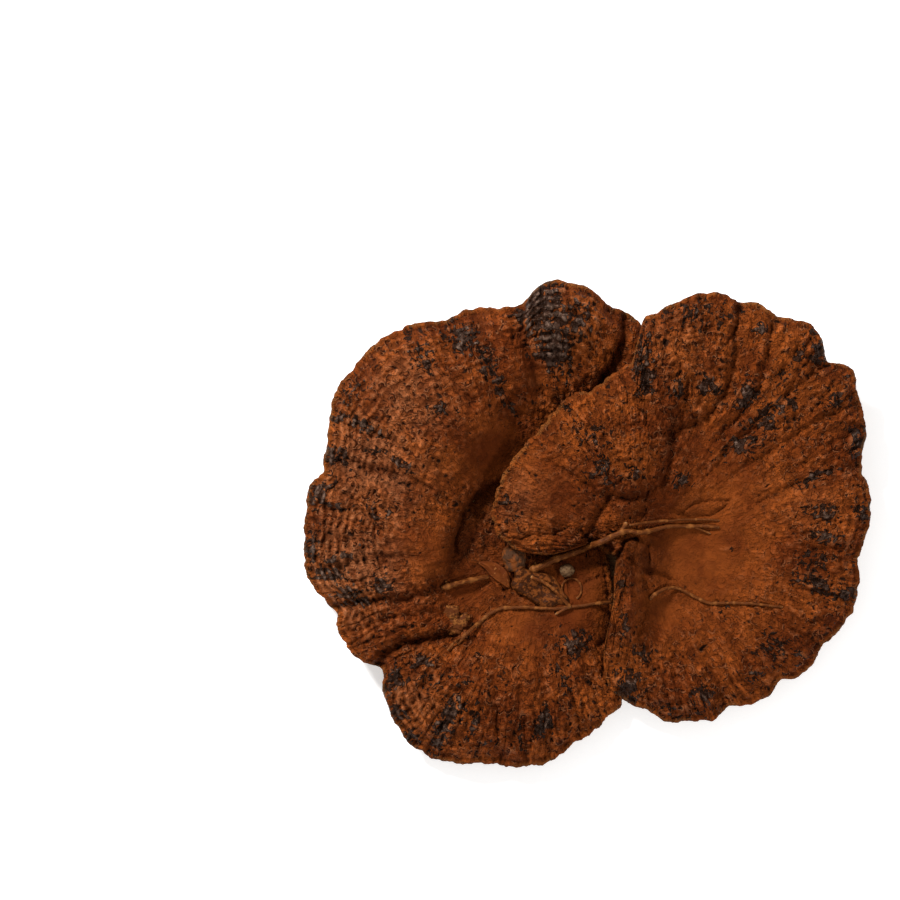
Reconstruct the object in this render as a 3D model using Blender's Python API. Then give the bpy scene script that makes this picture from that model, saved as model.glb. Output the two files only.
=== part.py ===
"""Dried reishi mushroom: two fan-shaped caps grown into each other over one cut-off stem.

+Z is up and the cut of the stem lies on Z = 0. Each cap is a closed solid on a polar grid: a wrinkled
upper skin that rises to a shoulder, a rounded margin that droops, and an underside that comes down to
the stem. Twigs, a leaf scrap and crumbs that the fungus grew round lie on the caps.
"""
import math

import bmesh
import bpy
import numpy as np
from mathutils import Vector
from mathutils.bvhtree import BVHTree

# All lengths are in millimetres, and MM turns them into Blender's metres.
MM = 0.001
GAP = 0.35                     # clearance between neighbouring pieces
OVERLAP_GAP = 1.3              # clearance where the right cap lies over the left one

CAP_SECTORS = 76               # cells round a cap
SKIN_RINGS = 12                # cells from the growth centre to the margin
LIP_STEPS = 3                  # cells round the margin
UNDER_RINGS = 5                # cells on the underside
LIP = 2.6                      # how far the rounded margin reaches
FLESH = 5.0                    # thickness of a cap away from the stem
MIN_FLESH = 3.2                # thickness of a cap where it is thinnest
ROLL_WIDTH = 11.0              # band in which the skin droops towards the margin
ROLL_DROP = 4.0

STEM_HEIGHT = 6.0
STEM_CENTRE = (3.0, -19.0)
STEM_RADII = (37.0, 25.0)      # half length and half width of the cut face
STEM_SIDES = 40
STEM_FLARE = 0.86              # size of the stem's waist against its cut face

# Growth centres of the two caps.
LEFT_CENTRE = (-23.0, -17.5)
RIGHT_CENTRE = (25.0, 8.5)

# Margins: (direction in degrees from +X, reach from the growth centre). Low values are notches.
LEFT_MARGIN = [
    (66, 109), (70, 110), (73, 109.5), (76, 113), (80, 115.5), (85, 116), (89, 113), (91, 107),
    (93, 104.5), (98, 105.5), (105, 107), (109, 104.5), (113, 108), (119, 109.5), (127, 109.5),
    (132, 106.5), (135, 107.5), (140, 104), (147, 96.5), (152, 94), (155, 91.5), (159, 95),
    (166, 93), (174, 91.5), (181, 90.5), (186, 86.5), (193, 79.5), (197, 81.5), (204, 80),
    (210, 77), (214, 71), (219, 76.5), (225, 80.5), (234, 85.5), (242, 86.5), (249, 84.5),
    (258, 80.5), (268, 80.5), (276, 79), (284, 73), (290, 71.5), (297, 68.5), (304, 67), (307, 61),
    (311, 50), (318, 45), (326, 42), (333, 38), (340, 36), (348, 34), (357, 32.5), (5, 32), (14, 31),
    (24, 34), (36, 42), (48, 60), (57, 82), (62, 98),
]
RIGHT_MARGIN = [
    (93, 74), (88, 77), (83, 81), (78, 85.5), (73, 88.5), (68, 89), (66, 88), (64, 90), (60, 91.5),
    (56, 90), (52, 94), (47, 97), (43, 94.5), (39, 90), (36, 96), (32, 97.5), (28, 94), (23, 93.5),
    (18, 91.5), (13, 88), (10, 86), (6, 87.5), (0, 89.5), (355, 89), (350, 88), (345, 86.5),
    (341, 90), (336, 92), (331, 93), (325, 92), (320, 90.5), (316, 92.5), (311, 93), (306, 88.5),
    (302, 92), (297, 91), (291, 88), (287, 91.5), (281, 89.5), (275, 89), (270, 83.5), (264, 81),
    (258, 76.5), (254.5, 69), (252, 61), (250.5, 46), (247, 38), (242, 31), (237, 26), (226, 28),
    (214, 36.5), (206, 47), (199, 57), (191, 63), (184, 64), (171, 61), (159, 57), (146, 53.5),
    (131, 54), (123, 53.5), (118, 51), (112, 52.5), (104, 55), (98, 57), (96, 62), (94, 68),
]

# The relief above the floor of the hollows is stretched by this much.
RELIEF = 1.25
HOLLOW_FLOOR = 12.5

# Heights of the upper skin before that: (x, y, z) of the hollows, shoulders and margins, joined smoothly.
LEFT_HEIGHTS = [
    (-101, 49, 20), (-111, 1, 17), (-107, -27, 17), (-95, -49, 18),       # left margin
    (-75, 75, 22), (-47, 84, 23), (-11, 96, 26), (5, 88, 23), (17, 82, 19),   # top margin
    (-75, 41, 29), (-87, 9, 26), (-75, 17, 29), (-81, -19, 25),           # left shoulder
    (-63, -15, 26), (-75, -39, 23), (-67, 57, 31), (-43, 69, 30),
    (-11, 79, 32), (-13, 65, 26), (-43, 37, 27), (-27, 49, 24),           # dark lobe and its foot
    (-31, 40, 20), (-39, 20, 16), (-45, -3, 13.5), (-47, -23, 13.5), (-51, -37, 15),   # valley
    (-23, -17, 13), (-23, 9, 12.5), (-11, 33, 14), (5, 49, 16), (19, 61, 17),  # below the right cap
    (1, -33, 16), (-19, -43, 16), (6, -18, 14.5), (8, -6, 12),            # inner plate
    (-77, -55, 20), (-67, -67, 22), (-47, -63, 24), (-27, -63, 22), (-7, -67, 18),   # bottom lobe
    (-35, -47, 18), (-63, -89, 14), (-39, -93, 14), (-11, -89, 13), (9, -75, 12), (5, -59, 12),
]
RIGHT_HEIGHTS = [
    (25, 81, 31), (45, 89, 28), (63, 83, 25), (85, 75, 23), (103, 55, 20),   # top margin
    (109, 33, 18), (112, 5, 16), (107, -23, 14), (93, -47, 13), (71, -67, 13),   # right margin
    (45, -77, 13), (25, -73, 15), (11, -63, 17), (9, -51, 19),            # bottom margin
    (15, -43, 23), (15, -31, 25), (15, -21, 24), (19, -12, 21),           # ridge along the seam
    (27, -31, 15), (37, -21, 12.5), (29, -7, 14), (25, 3, 18),            # hollow behind the ridge
    (-27, 1, 24), (-19, 17, 28), (-3, 37, 30), (13, 49, 31), (21, 65, 32),   # left lobe
    (-35, 9, 23), (-11, 47, 27), (7, 55, 28), (-9, 1, 24), (5, -5, 21),
    (20, 20, 27), (25, 38, 29), (38, 22, 20), (42, 40, 22),               # step at the lobe's foot
    (53, 1, 14), (45, -15, 12), (69, -15, 15), (53, -39, 14), (41, -55, 15),   # main hollow
    (85, -15, 17), (97, 1, 18), (85, 21, 19), (69, 33, 20), (53, 37, 20), (45, 21, 18),
    (77, 57, 24), (53, 69, 27), (37, 69, 30), (77, -47, 16), (61, -59, 16), (29, -67, 18),
]

# Furrows: (depth, half width, points along it).
LEFT_FURROWS = [
    (4.0, 3.0, [(15, 84), (13, 71), (10, 63), (5, 57)]),
    (3.5, 2.8, [(-27, 90), (-26, 77), (-23, 65), (-19, 55)]),
    (3.0, 3.5, [(-46, 86), (-42, 69), (-37, 55), (-29, 45)]),
    (2.5, 3.0, [(-60, 86), (-57, 71), (-54, 59), (-47, 49)]),
    (2.5, 3.0, [(-108, 27), (-95, 25), (-79, 21)]),
    (2.2, 3.0, [(-115, -21), (-99, -17), (-83, -14)]),
    (3.0, 3.0, [(-103, -33), (-81, -28), (-63, -26)]),
    (5.0, 3.0, [(-86, -59), (-81, -51), (-75, -47), (-55, -44)]),
    (2.0, 3.5, [(-53, -67), (-59, -81), (-64, -95)]),
    (2.0, 3.5, [(-39, -55), (-37, -71), (-36, -98)]),
    (2.0, 3.5, [(-19, -55), (-17, -71), (-15, -97)]),
]
RIGHT_FURROWS = [
    (5.0, 3.5, [(60, 92), (58, 73), (56, 57), (51, 49), (41, 39)]),
    (3.5, 3.2, [(75, 86), (72, 71), (68, 57), (61, 45)]),
    (3.0, 3.2, [(97, 66), (87, 59), (77, 51), (65, 39)]),
    (2.2, 3.0, [(110, 50), (97, 45), (83, 37), (69, 27)]),
    (2.2, 3.0, [(113, 25), (99, 23), (85, 17)]),
    (1.8, 3.0, [(115, -9), (99, -9), (85, -11)]),
    (2.0, 3.0, [(98, -55), (84, -44), (72, -34)]),
    (2.0, 3.0, [(75, -73), (66, -60), (58, -47)]),
    (3.0, 3.0, [(35, 72), (34, 49), (32, 33), (31, 24), (26, 15), (13, 11), (4, 8), (-2, 1)]),
]

# Twigs: (name, radius at each end, points from one end to the other).
TWIGS = [
    ("main_twig", 1.35, 0.7, [(-21.5, -18), (-13, -14), (-5, -11.5), (3, -8), (10, -4.5), (15, -3),
                              (21, -3), (29, -1), (37, -0.5), (44, -0.5), (53, -1)]),
    ("side_twig", 0.6, 0.45, [(16.5, 0.6), (21, 0.9), (31, 1.6), (44, 2), (53, 1.7)]),
    ("long_twig", 0.8, 0.7, [(-52, -47.5), (-50, -45), (-45, -39.5), (-41, -36), (-37, -34),
                             (-33, -33), (-17, -33.5), (-7, -33), (1, -32), (8.4, -31.2)]),
    ("far_twig", 0.75, 0.5, [(25, -30), (27, -28), (32, -25.5), (37, -26), (43, -29), (49, -31.5),
                             (55, -31.5), (63, -31.5), (70, -32), (78, -33)]),
    ("forked_twig", 0.8, 0.6, [(-18, -22.5), (-14.5, -25), (-11, -28), (-8, -30.6)]),
    ("stout_twig", 1.1, 0.9, [(-63, -26), (-56, -24.2), (-47, -22.2), (-40, -20.4)]),
    ("thin_twig", 0.5, 0.4, [(-56, -50), (-53, -46.5), (-49.5, -44.5)]),
]
# Scraps: (name, thickness, rise towards the edges, outline, colour name).
SCRAPS = [
    ("leaf_scrap", 0.5, 0.35, [(-43, -15), (-38, -15.5), (-34, -19), (-31.5, -24.5), (-36, -24),
                               (-40, -20.5)], "straw"),
    ("bark_flake", 0.8, 0.0, [(-57, -33), (-53.5, -32), (-51, -35), (-53, -38), (-56.5, -37)], "grit"),
]
TWIG_STEP = 2.4                # distance between the points of a twig's centre line

CLAY = (0.11, 0.032, 0.010)    # rusty brown skin
SOOT = (0.045, 0.030, 0.024)   # grey-black skin
PALE_FLESH = (0.30, 0.17, 0.08)
BARK = (0.16, 0.055, 0.015)
STRAW = (0.22, 0.10, 0.035)
GRIT = (0.06, 0.035, 0.025)
SCRAP_COLOURS = {"straw": STRAW, "grit": GRIT}


def clear_scene():
    for old in list(bpy.data.objects):
        bpy.data.objects.remove(old, do_unlink=True)


def matte(name, colour, roughness):
    """A plain material for one sub-part."""
    made = bpy.data.materials.new(name)
    made.use_nodes = True
    shader = made.node_tree.nodes["Principled BSDF"]
    shader.inputs["Base Color"].default_value = (*colour, 1.0)
    shader.inputs["Roughness"].default_value = roughness
    shader.inputs["Metallic"].default_value = 0.0
    return made


def finished(name, mesh, colour, roughness):
    """Put a mesh or curve into the scene as a named object with its own material."""
    made = bpy.data.objects.new(name, mesh)
    mesh.materials.append(matte(name + "_skin", colour, roughness))
    bpy.context.collection.objects.link(made)
    return made


def solid_from_bmesh(name, shape, colour, roughness):
    bmesh.ops.recalc_face_normals(shape, faces=shape.faces)
    mesh = bpy.data.meshes.new(name)
    shape.to_mesh(mesh)
    shape.free()
    mesh.shade_smooth()
    return finished(name, mesh, colour, roughness)


def plate_kernel(distance):
    return distance ** 2 * np.log(distance + 1e-9)


def smooth_heights(marks):
    """Fit a thin plate through the marks and return it as a function of x and y."""
    known = np.array(marks, float)
    spot, height = known[:, :2], HOLLOW_FLOOR + RELIEF * (known[:, 2] - HOLLOW_FLOOR)
    count = len(known)
    spread = np.linalg.norm(spot[:, None] - spot[None], axis=2)
    flat = np.hstack([np.ones((count, 1)), spot])
    system = np.block([[plate_kernel(spread), flat], [flat.T, np.zeros((3, 3))]])
    answer = np.linalg.solve(system, np.concatenate([height, np.zeros(3)]))
    weight, plane = answer[:count], answer[count:]

    def height_at(x, y):
        total = plane[0] + plane[1] * x + plane[2] * y
        for (px, py), w in zip(spot, weight):
            total = total + w * plate_kernel(np.hypot(x - px, y - py))
        return total

    return height_at


def distance_to_path(x, y, path):
    """Shortest distance from each point to a line through the path's points."""
    nearest = np.full(np.shape(x), 1e9)
    for (ax, ay), (bx, by) in zip(path, path[1:]):
        dx, dy = bx - ax, by - ay
        along = ((x - ax) * dx + (y - ay) * dy) / (dx * dx + dy * dy)
        along = np.clip(along, 0.0, 1.0)
        nearest = np.minimum(nearest, np.hypot(x - ax - along * dx, y - ay - along * dy))
    return nearest


def furrowed(x, y, furrows):
    """How far the furrows sink the skin."""
    sunk = np.zeros(np.shape(x))
    for depth, width, path in furrows:
        sunk = sunk + depth * np.exp(-(distance_to_path(x, y, path) / width) ** 2)
    return sunk


def reach(margin, degrees):
    """Distance from the growth centre to the margin in a direction."""
    known = sorted(margin)
    return np.interp(degrees, [a for a, r in known], [r for a, r in known], period=360)


def inward(x, y, centre, margin):
    """Distance from a point to the margin, measured away from the growth centre."""
    dx, dy = x - centre[0], y - centre[1]
    return reach(margin, np.degrees(np.arctan2(dy, dx)) % 360) - np.hypot(dx, dy)


def droop(to_margin):
    return ROLL_DROP * np.clip(1 - to_margin / ROLL_WIDTH, 0, 1) ** 2


def within_ellipse(x, y, centre, radii):
    """1 inside the ellipse, falling smoothly to 0 at 1.5 times its size."""
    size = np.hypot((x - centre[0]) / radii[0], (y - centre[1]) / radii[1])
    fade = np.clip((1.5 - size) / 0.5, 0, 1)
    return fade * fade * (3 - 2 * fade)


LEFT_SURFACE = smooth_heights(LEFT_HEIGHTS)
RIGHT_SURFACE = smooth_heights(RIGHT_HEIGHTS)
LEFT_SEAT = ((-16.0, -20.0), (17.0, 18.0))
RIGHT_SEAT = ((29.0, -20.0), (11.0, 15.0))


def left_top(x, y):
    skin = LEFT_SURFACE(x, y) - droop(inward(x, y, LEFT_CENTRE, LEFT_MARGIN))
    return np.maximum(skin - furrowed(x, y, LEFT_FURROWS), STEM_HEIGHT + GAP + MIN_FLESH)


def seated(x, y, flesh, seat):
    """Bring the underside down to the stem's top over the seat, and keep it above the whole stem."""
    share = within_ellipse(x, y, *seat)
    rest = STEM_HEIGHT + GAP
    near_stem = np.hypot((x - STEM_CENTRE[0]) / STEM_RADII[0], (y - STEM_CENTRE[1]) / STEM_RADII[1]) < 1.4
    level = flesh * (1 - share) + rest * share
    return np.where(near_stem, np.maximum(level, rest), level)


def left_under(x, y):
    flesh = LEFT_SURFACE(x, y) - droop(inward(x, y, LEFT_CENTRE, LEFT_MARGIN)) - FLESH
    return seated(x, y, np.minimum(flesh, left_top(x, y) - MIN_FLESH), LEFT_SEAT)


def right_under(x, y):
    flesh = RIGHT_SURFACE(x, y) - droop(inward(x, y, RIGHT_CENTRE, RIGHT_MARGIN)) - FLESH
    flesh = seated(x, y, flesh - 0.6 * furrowed(x, y, RIGHT_FURROWS), RIGHT_SEAT)
    over_left = inward(x, y, LEFT_CENTRE, LEFT_MARGIN) > -6.0
    clear = np.where(over_left, left_top(x, y) + OVERLAP_GAP, 0.0)
    return np.maximum(flesh, clear)


def right_top(x, y):
    skin = RIGHT_SURFACE(x, y) - droop(inward(x, y, RIGHT_CENTRE, RIGHT_MARGIN))
    skin = skin - furrowed(x, y, RIGHT_FURROWS)
    return np.maximum(skin, right_under(x, y) + MIN_FLESH)


def cap_rows(centre, margin, top, under):
    """Rows of points from the growth centre over the skin, round the margin and back underneath."""
    degrees = np.arange(CAP_SECTORS) * 360.0 / CAP_SECTORS
    far = reach(margin, degrees)
    east, north = np.cos(np.radians(degrees)), np.sin(np.radians(degrees))
    lip = np.minimum(LIP, 0.2 * far)

    def spot(out):
        return centre[0] + out * east, centre[1] + out * north

    rows = []
    for step in range(1, SKIN_RINGS + 1):
        x, y = spot((far - lip) * (step / SKIN_RINGS) ** 0.85)
        rows.append((x, y, top(x, y)))
    x, y = spot(far - lip)
    high, low = top(x, y), under(x, y)
    for step in range(1, LIP_STEPS):
        turn = math.pi * step / LIP_STEPS
        x, y = spot(far - lip * (1 - math.sin(turn)))
        rows.append((x, y, (high + low) / 2 + (high - low) / 2 * math.cos(turn)))
    for step in range(UNDER_RINGS, 0, -1):
        x, y = spot((far - lip) * step / UNDER_RINGS)
        rows.append((x, y, under(x, y)))
    return rows


def make_cap(name, centre, margin, top, under, colour):
    """One cap as a closed solid."""
    shape = bmesh.new()

    def corner(x, y, z):
        return shape.verts.new((x * MM, y * MM, z * MM))

    rings = []
    for x, y, z in cap_rows(centre, margin, top, under):
        rings.append([corner(*place) for place in zip(x, y, z)])
    crown = corner(*centre, float(top(*np.array(centre))))
    foot = corner(*centre, float(under(*np.array(centre))))
    for i in range(CAP_SECTORS):
        j = (i + 1) % CAP_SECTORS
        shape.faces.new((crown, rings[0][i], rings[0][j]))
        shape.faces.new((foot, rings[-1][j], rings[-1][i]))
        for inner, outer in zip(rings, rings[1:]):
            shape.faces.new((inner[i], outer[i], outer[j], inner[j]))
    bmesh.ops.triangulate(shape, faces=shape.faces)
    return solid_from_bmesh(name, shape, colour, 0.8)


def make_stem():
    """The cut-off stem: a flat oval cut below and a waist above it."""
    shape = bmesh.new()
    rings = []
    for height, size in ((0.0, 1.0), (2.2, 0.94), (4.2, STEM_FLARE), (STEM_HEIGHT, 0.9)):
        ring = []
        for side in range(STEM_SIDES):
            turn = 2 * math.pi * side / STEM_SIDES
            wobble = size * (1 + 0.04 * math.sin(3 * turn + 0.7) + 0.03 * math.sin(5 * turn + height))
            x = STEM_CENTRE[0] + STEM_RADII[0] * wobble * math.cos(turn)
            y = STEM_CENTRE[1] + STEM_RADII[1] * wobble * math.sin(turn)
            ring.append(shape.verts.new((x * MM, y * MM, height * MM)))
        rings.append(ring)
    shape.faces.new(rings[0][::-1])
    shape.faces.new(rings[-1])
    for low, high in zip(rings, rings[1:]):
        for i in range(STEM_SIDES):
            j = (i + 1) % STEM_SIDES
            shape.faces.new((low[i], low[j], high[j], high[i]))
    return solid_from_bmesh("stem", shape, PALE_FLESH, 0.9)


def surface_of(pieces):
    """A search tree over the pieces, for laying things on them."""
    corners, faces = [], []
    drawn = bpy.context.evaluated_depsgraph_get()
    for piece in pieces:
        start = len(corners)
        mesh = piece.evaluated_get(drawn).to_mesh()
        corners += [v.co.copy() for v in mesh.vertices]
        faces += [[start + i for i in f.vertices] for f in mesh.polygons]
    return BVHTree.FromPolygons(corners, faces)


def ground(tree, x, y, round_about=0.0):
    """Height of the highest skin at or close round a point, in millimetres."""
    best = 0.0
    turns = [math.radians(45 * k) for k in range(8)]
    spots = [(0.0, 0.0)]
    for out in (round_about / 2, round_about):
        spots += [(out * math.cos(t), out * math.sin(t)) for t in turns]
    for dx, dy in spots:
        hit = tree.ray_cast(Vector(((x + dx) * MM, (y + dy) * MM, 1.0)), Vector((0, 0, -1)))[0]
        if hit is not None:
            best = max(best, hit.z / MM)
    return best


def even_path(points, step):
    """Points a step apart along a Catmull-Rom curve through the given ones."""
    fine = []
    padded = [points[0]] + list(points) + [points[-1]]
    for a, b, c, d in zip(padded, padded[1:], padded[2:], padded[3:]):
        pieces = max(1, round(math.dist(b, c) / step))
        for k in range(pieces):
            t = k / pieces
            fine.append(tuple(
                0.5 * (2 * q + (r - p) * t + (2 * p - 5 * q + 4 * r - s) * t * t
                       + (3 * q - p - 3 * r + s) * t ** 3)
                for p, q, r, s in zip(a, b, c, d)))
    fine.append(tuple(points[-1]))
    return fine


def make_twig(name, thick, thin, points, tree):
    """A twig laid on the skin below it."""
    path = even_path(points, TWIG_STEP)
    curve = bpy.data.curves.new(name, "CURVE")
    curve.dimensions = "3D"
    curve.bevel_depth = thick * MM
    curve.bevel_resolution = 2
    curve.use_fill_caps = True
    line = curve.splines.new("POLY")
    line.points.add(len(path) - 1)
    for i, (x, y) in enumerate(path):
        share = i / (len(path) - 1)
        radius = thick + (thin - thick) * share
        z = ground(tree, x, y, radius + 0.7) + radius + GAP
        line.points[i].co = (x * MM, y * MM, z * MM, 1.0)
        line.points[i].radius = radius / thick
    return finished(name, curve, BARK, 0.75)


def make_lump(name, centre, radii, turn, tree, colour, rough=0.12, detail=2):
    """A rounded lump whose underside follows the skin below it."""
    shape = bmesh.new()
    bmesh.ops.create_icosphere(shape, subdivisions=detail, radius=1.0)
    cos, sin = math.cos(math.radians(turn)), math.sin(math.radians(turn))
    floor = ground(tree, *centre)
    for v in shape.verts:
        swell = 1 + rough * math.sin(3.1 * v.co.x + 2.3 * v.co.y + 1.7) * math.cos(2.7 * v.co.z + 0.6)
        x, y, z = (v.co[i] * radii[i] * swell for i in range(3))
        px, py = centre[0] + x * cos - y * sin, centre[1] + x * sin + y * cos
        pz = floor + radii[2] * 0.55 + z
        v.co = (px * MM, py * MM, max(pz, ground(tree, px, py, 0.6) + GAP + 0.15 * (1 + z / radii[2])) * MM)
    return solid_from_bmesh(name, shape, colour, 0.7)


def make_flake(name, outline, thick, tree, colour, fold=0.0):
    """A thin scrap with an irregular outline, lying just above the skin."""
    shape = bmesh.new()
    middle_x = sum(x for x, y in outline) / len(outline)
    middle_y = sum(y for x, y in outline) / len(outline)
    lift = max(ground(tree, x, y, 0.8) for x, y in outline + [(middle_x, middle_y)]) + GAP
    rings = []
    for level in (0.0, thick):
        rings.append([
            shape.verts.new((x * MM, y * MM, (lift + level + fold * abs(y - middle_y)) * MM))
            for x, y in outline])
    low_mid = shape.verts.new((middle_x * MM, middle_y * MM, lift * MM))
    high_mid = shape.verts.new((middle_x * MM, middle_y * MM, (lift + thick) * MM))
    for i in range(len(outline)):
        j = (i + 1) % len(outline)
        shape.faces.new((rings[0][i], rings[0][j], rings[1][j], rings[1][i]))
        shape.faces.new((low_mid, rings[0][j], rings[0][i]))
        shape.faces.new((high_mid, rings[1][i], rings[1][j]))
    return solid_from_bmesh(name, shape, colour, 0.85)


def make_tendril(tree):
    """A hair-thin shoot bent into most of a loop."""
    loop_centre, loop_radius, thickness = (-6.4, -25.8), 4.3, 0.45
    curve = bpy.data.curves.new("tendril", "CURVE")
    curve.dimensions = "3D"
    curve.bevel_depth = thickness * MM
    curve.bevel_resolution = 2
    curve.use_fill_caps = True
    turns = [math.radians(a) for a in range(-60, 250, 18)]
    line = curve.splines.new("POLY")
    line.points.add(len(turns) - 1)
    for i, turn in enumerate(turns):
        x = loop_centre[0] + loop_radius * math.cos(turn)
        y = loop_centre[1] + loop_radius * math.sin(turn)
        z = ground(tree, x, y, 0.8) + thickness + GAP
        line.points[i].co = (x * MM, y * MM, z * MM, 1.0)
    return finished("tendril", curve, BARK, 0.7)


def build():
    clear_scene()
    left = make_cap("left_cap", LEFT_CENTRE, LEFT_MARGIN, left_top, left_under, CLAY)
    right = make_cap("right_cap", RIGHT_CENTRE, RIGHT_MARGIN, right_top, right_under, CLAY)
    make_stem()
    laid = [left, right]
    laid.append(make_lump("young_cap", (-29.5, -14.5), (4.4, 5.6, 4.5), 20, surface_of(laid), SOOT))
    laid.append(make_lump("cup_lobe", (-19.0, -26.0), (10.0, 4.0, 3.5), -35, surface_of(laid), CLAY))
    laid.append(make_lump("pebble", (-8.2, -18.2), (2.3, 2.3, 1.8), 0, surface_of(laid), GRIT, 0.2))
    laid.append(make_tendril(surface_of(laid)))
    for name, thick, thin, points in TWIGS:
        laid.append(make_twig(name, thick, thin, points, surface_of(laid)))
    for name, thick, fold, outline, colour in SCRAPS:
        laid.append(make_flake(name, outline, thick, surface_of(laid), SCRAP_COLOURS[colour], fold))


build()
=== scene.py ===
"""The looks of the dried reishi mushroom: wrinkled skins, twigs and scraps in place of the plain solids.

Lengths are in millimetres until MM turns them into metres. The numbers that shape the caps repeat
those of the model's own script, and finer ones are added here.
"""

import math

import bmesh
import bpy
import numpy as np
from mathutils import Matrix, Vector
from mathutils.bvhtree import BVHTree


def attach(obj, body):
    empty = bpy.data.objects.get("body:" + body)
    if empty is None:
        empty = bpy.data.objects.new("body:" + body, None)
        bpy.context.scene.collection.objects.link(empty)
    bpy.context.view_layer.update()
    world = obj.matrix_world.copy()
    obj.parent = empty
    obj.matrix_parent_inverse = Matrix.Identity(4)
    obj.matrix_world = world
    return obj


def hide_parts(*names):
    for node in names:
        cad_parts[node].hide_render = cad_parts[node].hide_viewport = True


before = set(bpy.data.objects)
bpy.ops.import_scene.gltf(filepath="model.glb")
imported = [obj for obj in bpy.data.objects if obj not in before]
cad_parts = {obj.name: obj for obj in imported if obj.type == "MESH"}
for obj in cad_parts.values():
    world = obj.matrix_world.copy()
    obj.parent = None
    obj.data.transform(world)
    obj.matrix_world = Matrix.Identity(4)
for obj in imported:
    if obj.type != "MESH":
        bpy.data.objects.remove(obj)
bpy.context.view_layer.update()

MM = 0.001
GAP = 0.35
OVERLAP_GAP = 1.0
LIP = 2.6
FLESH = 5.0
MIN_FLESH = 3.2
ROLL_WIDTH = 11.0
ROLL_DROP = 4.0
STEM_HEIGHT = 6.0
STEM_CENTRE = (3.0, -19.0)
STEM_RADII = (37.0, 25.0)
LEFT_CENTRE = (-23.0, -17.5)
RIGHT_CENTRE = (25.0, 8.5)
RELIEF = 1.25
HOLLOW_FLOOR = 12.5
FULL_FURROW = 4.0
RING_SPACING = 3.0
BEAD_SPACING = 3.4
PIT_SPACING = 3.0

# Margins: (direction in degrees from +X, reach from the growth centre). Low values are notches.
LEFT_MARGIN = [
    (66, 109), (70, 110), (73, 109.5), (76, 113), (80, 115.5), (85, 116), (89, 113), (91, 107),
    (93, 104.5), (98, 105.5), (105, 107), (109, 104.5), (113, 108), (119, 109.5), (127, 109.5),
    (132, 106.5), (135, 107.5), (140, 104), (147, 96.5), (152, 94), (155, 91.5), (159, 95),
    (166, 93), (174, 91.5), (181, 90.5), (186, 86.5), (193, 79.5), (197, 81.5), (204, 80),
    (210, 77), (214, 71), (219, 76.5), (225, 80.5), (234, 85.5), (242, 86.5), (249, 84.5),
    (258, 80.5), (268, 80.5), (276, 79), (284, 73), (290, 71.5), (297, 68.5), (304, 67), (307, 61),
    (311, 50), (318, 45), (326, 42), (333, 38), (340, 36), (348, 34), (357, 32.5), (5, 32), (14, 31),
    (24, 34), (36, 42), (48, 60), (57, 82), (62, 98),
]
RIGHT_MARGIN = [
    (93, 74), (88, 77), (83, 81), (78, 85.5), (73, 88.5), (68, 89), (66, 88), (64, 90), (60, 91.5),
    (56, 90), (52, 94), (47, 97), (43, 94.5), (39, 90), (36, 96), (32, 97.5), (28, 94), (23, 93.5),
    (18, 91.5), (13, 88), (10, 86), (6, 87.5), (0, 89.5), (355, 89), (350, 88), (345, 86.5),
    (341, 90), (336, 92), (331, 93), (325, 92), (320, 90.5), (316, 92.5), (311, 93), (306, 88.5),
    (302, 92), (297, 91), (291, 88), (287, 91.5), (281, 89.5), (275, 89), (270, 83.5), (264, 81),
    (258, 76.5), (254.5, 69), (252, 61), (250.5, 46), (247, 38), (242, 31), (238, 25), (226, 27),
    (219, 27), (212, 31), (209, 40), (206, 47), (199, 57), (191, 63), (184, 64), (171, 61), (159, 57),
    (146, 53.5), (131, 54), (123, 53.5), (118, 51), (112, 52.5), (104, 55), (98, 57), (96, 62), (94, 68),
]

# Heights of the upper skin before the relief is stretched: (x, y, z), joined smoothly.
LEFT_HEIGHTS = [
    (-101, 49, 20), (-111, 1, 17), (-107, -27, 17), (-95, -49, 18),       # left margin
    (-75, 75, 22), (-47, 84, 23), (-11, 96, 26), (5, 88, 23), (17, 82, 19),   # top margin
    (-75, 41, 29), (-87, 9, 26), (-75, 17, 29), (-81, -19, 25),           # left shoulder
    (-63, -15, 26), (-75, -39, 23), (-67, 57, 31), (-43, 69, 30),
    (-11, 79, 32), (-13, 65, 26), (-43, 37, 27), (-27, 49, 24),           # dark lobe and its foot
    (-31, 40, 20), (-39, 20, 16), (-45, -3, 13.5), (-47, -23, 13.5), (-51, -37, 15),   # valley
    (-23, -17, 13), (-23, 9, 12.5), (-11, 33, 14), (5, 49, 16), (19, 61, 17),  # below the right cap
    (1, -33, 16), (-19, -43, 16), (6, -18, 14.5), (8, -6, 12),            # inner plate
    (-77, -55, 20), (-67, -67, 22), (-47, -63, 24), (-27, -63, 22), (-7, -67, 18),   # bottom lobe
    (-35, -47, 18), (-63, -89, 14), (-39, -93, 14), (-11, -89, 13), (9, -75, 12), (5, -59, 12),
]
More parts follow.
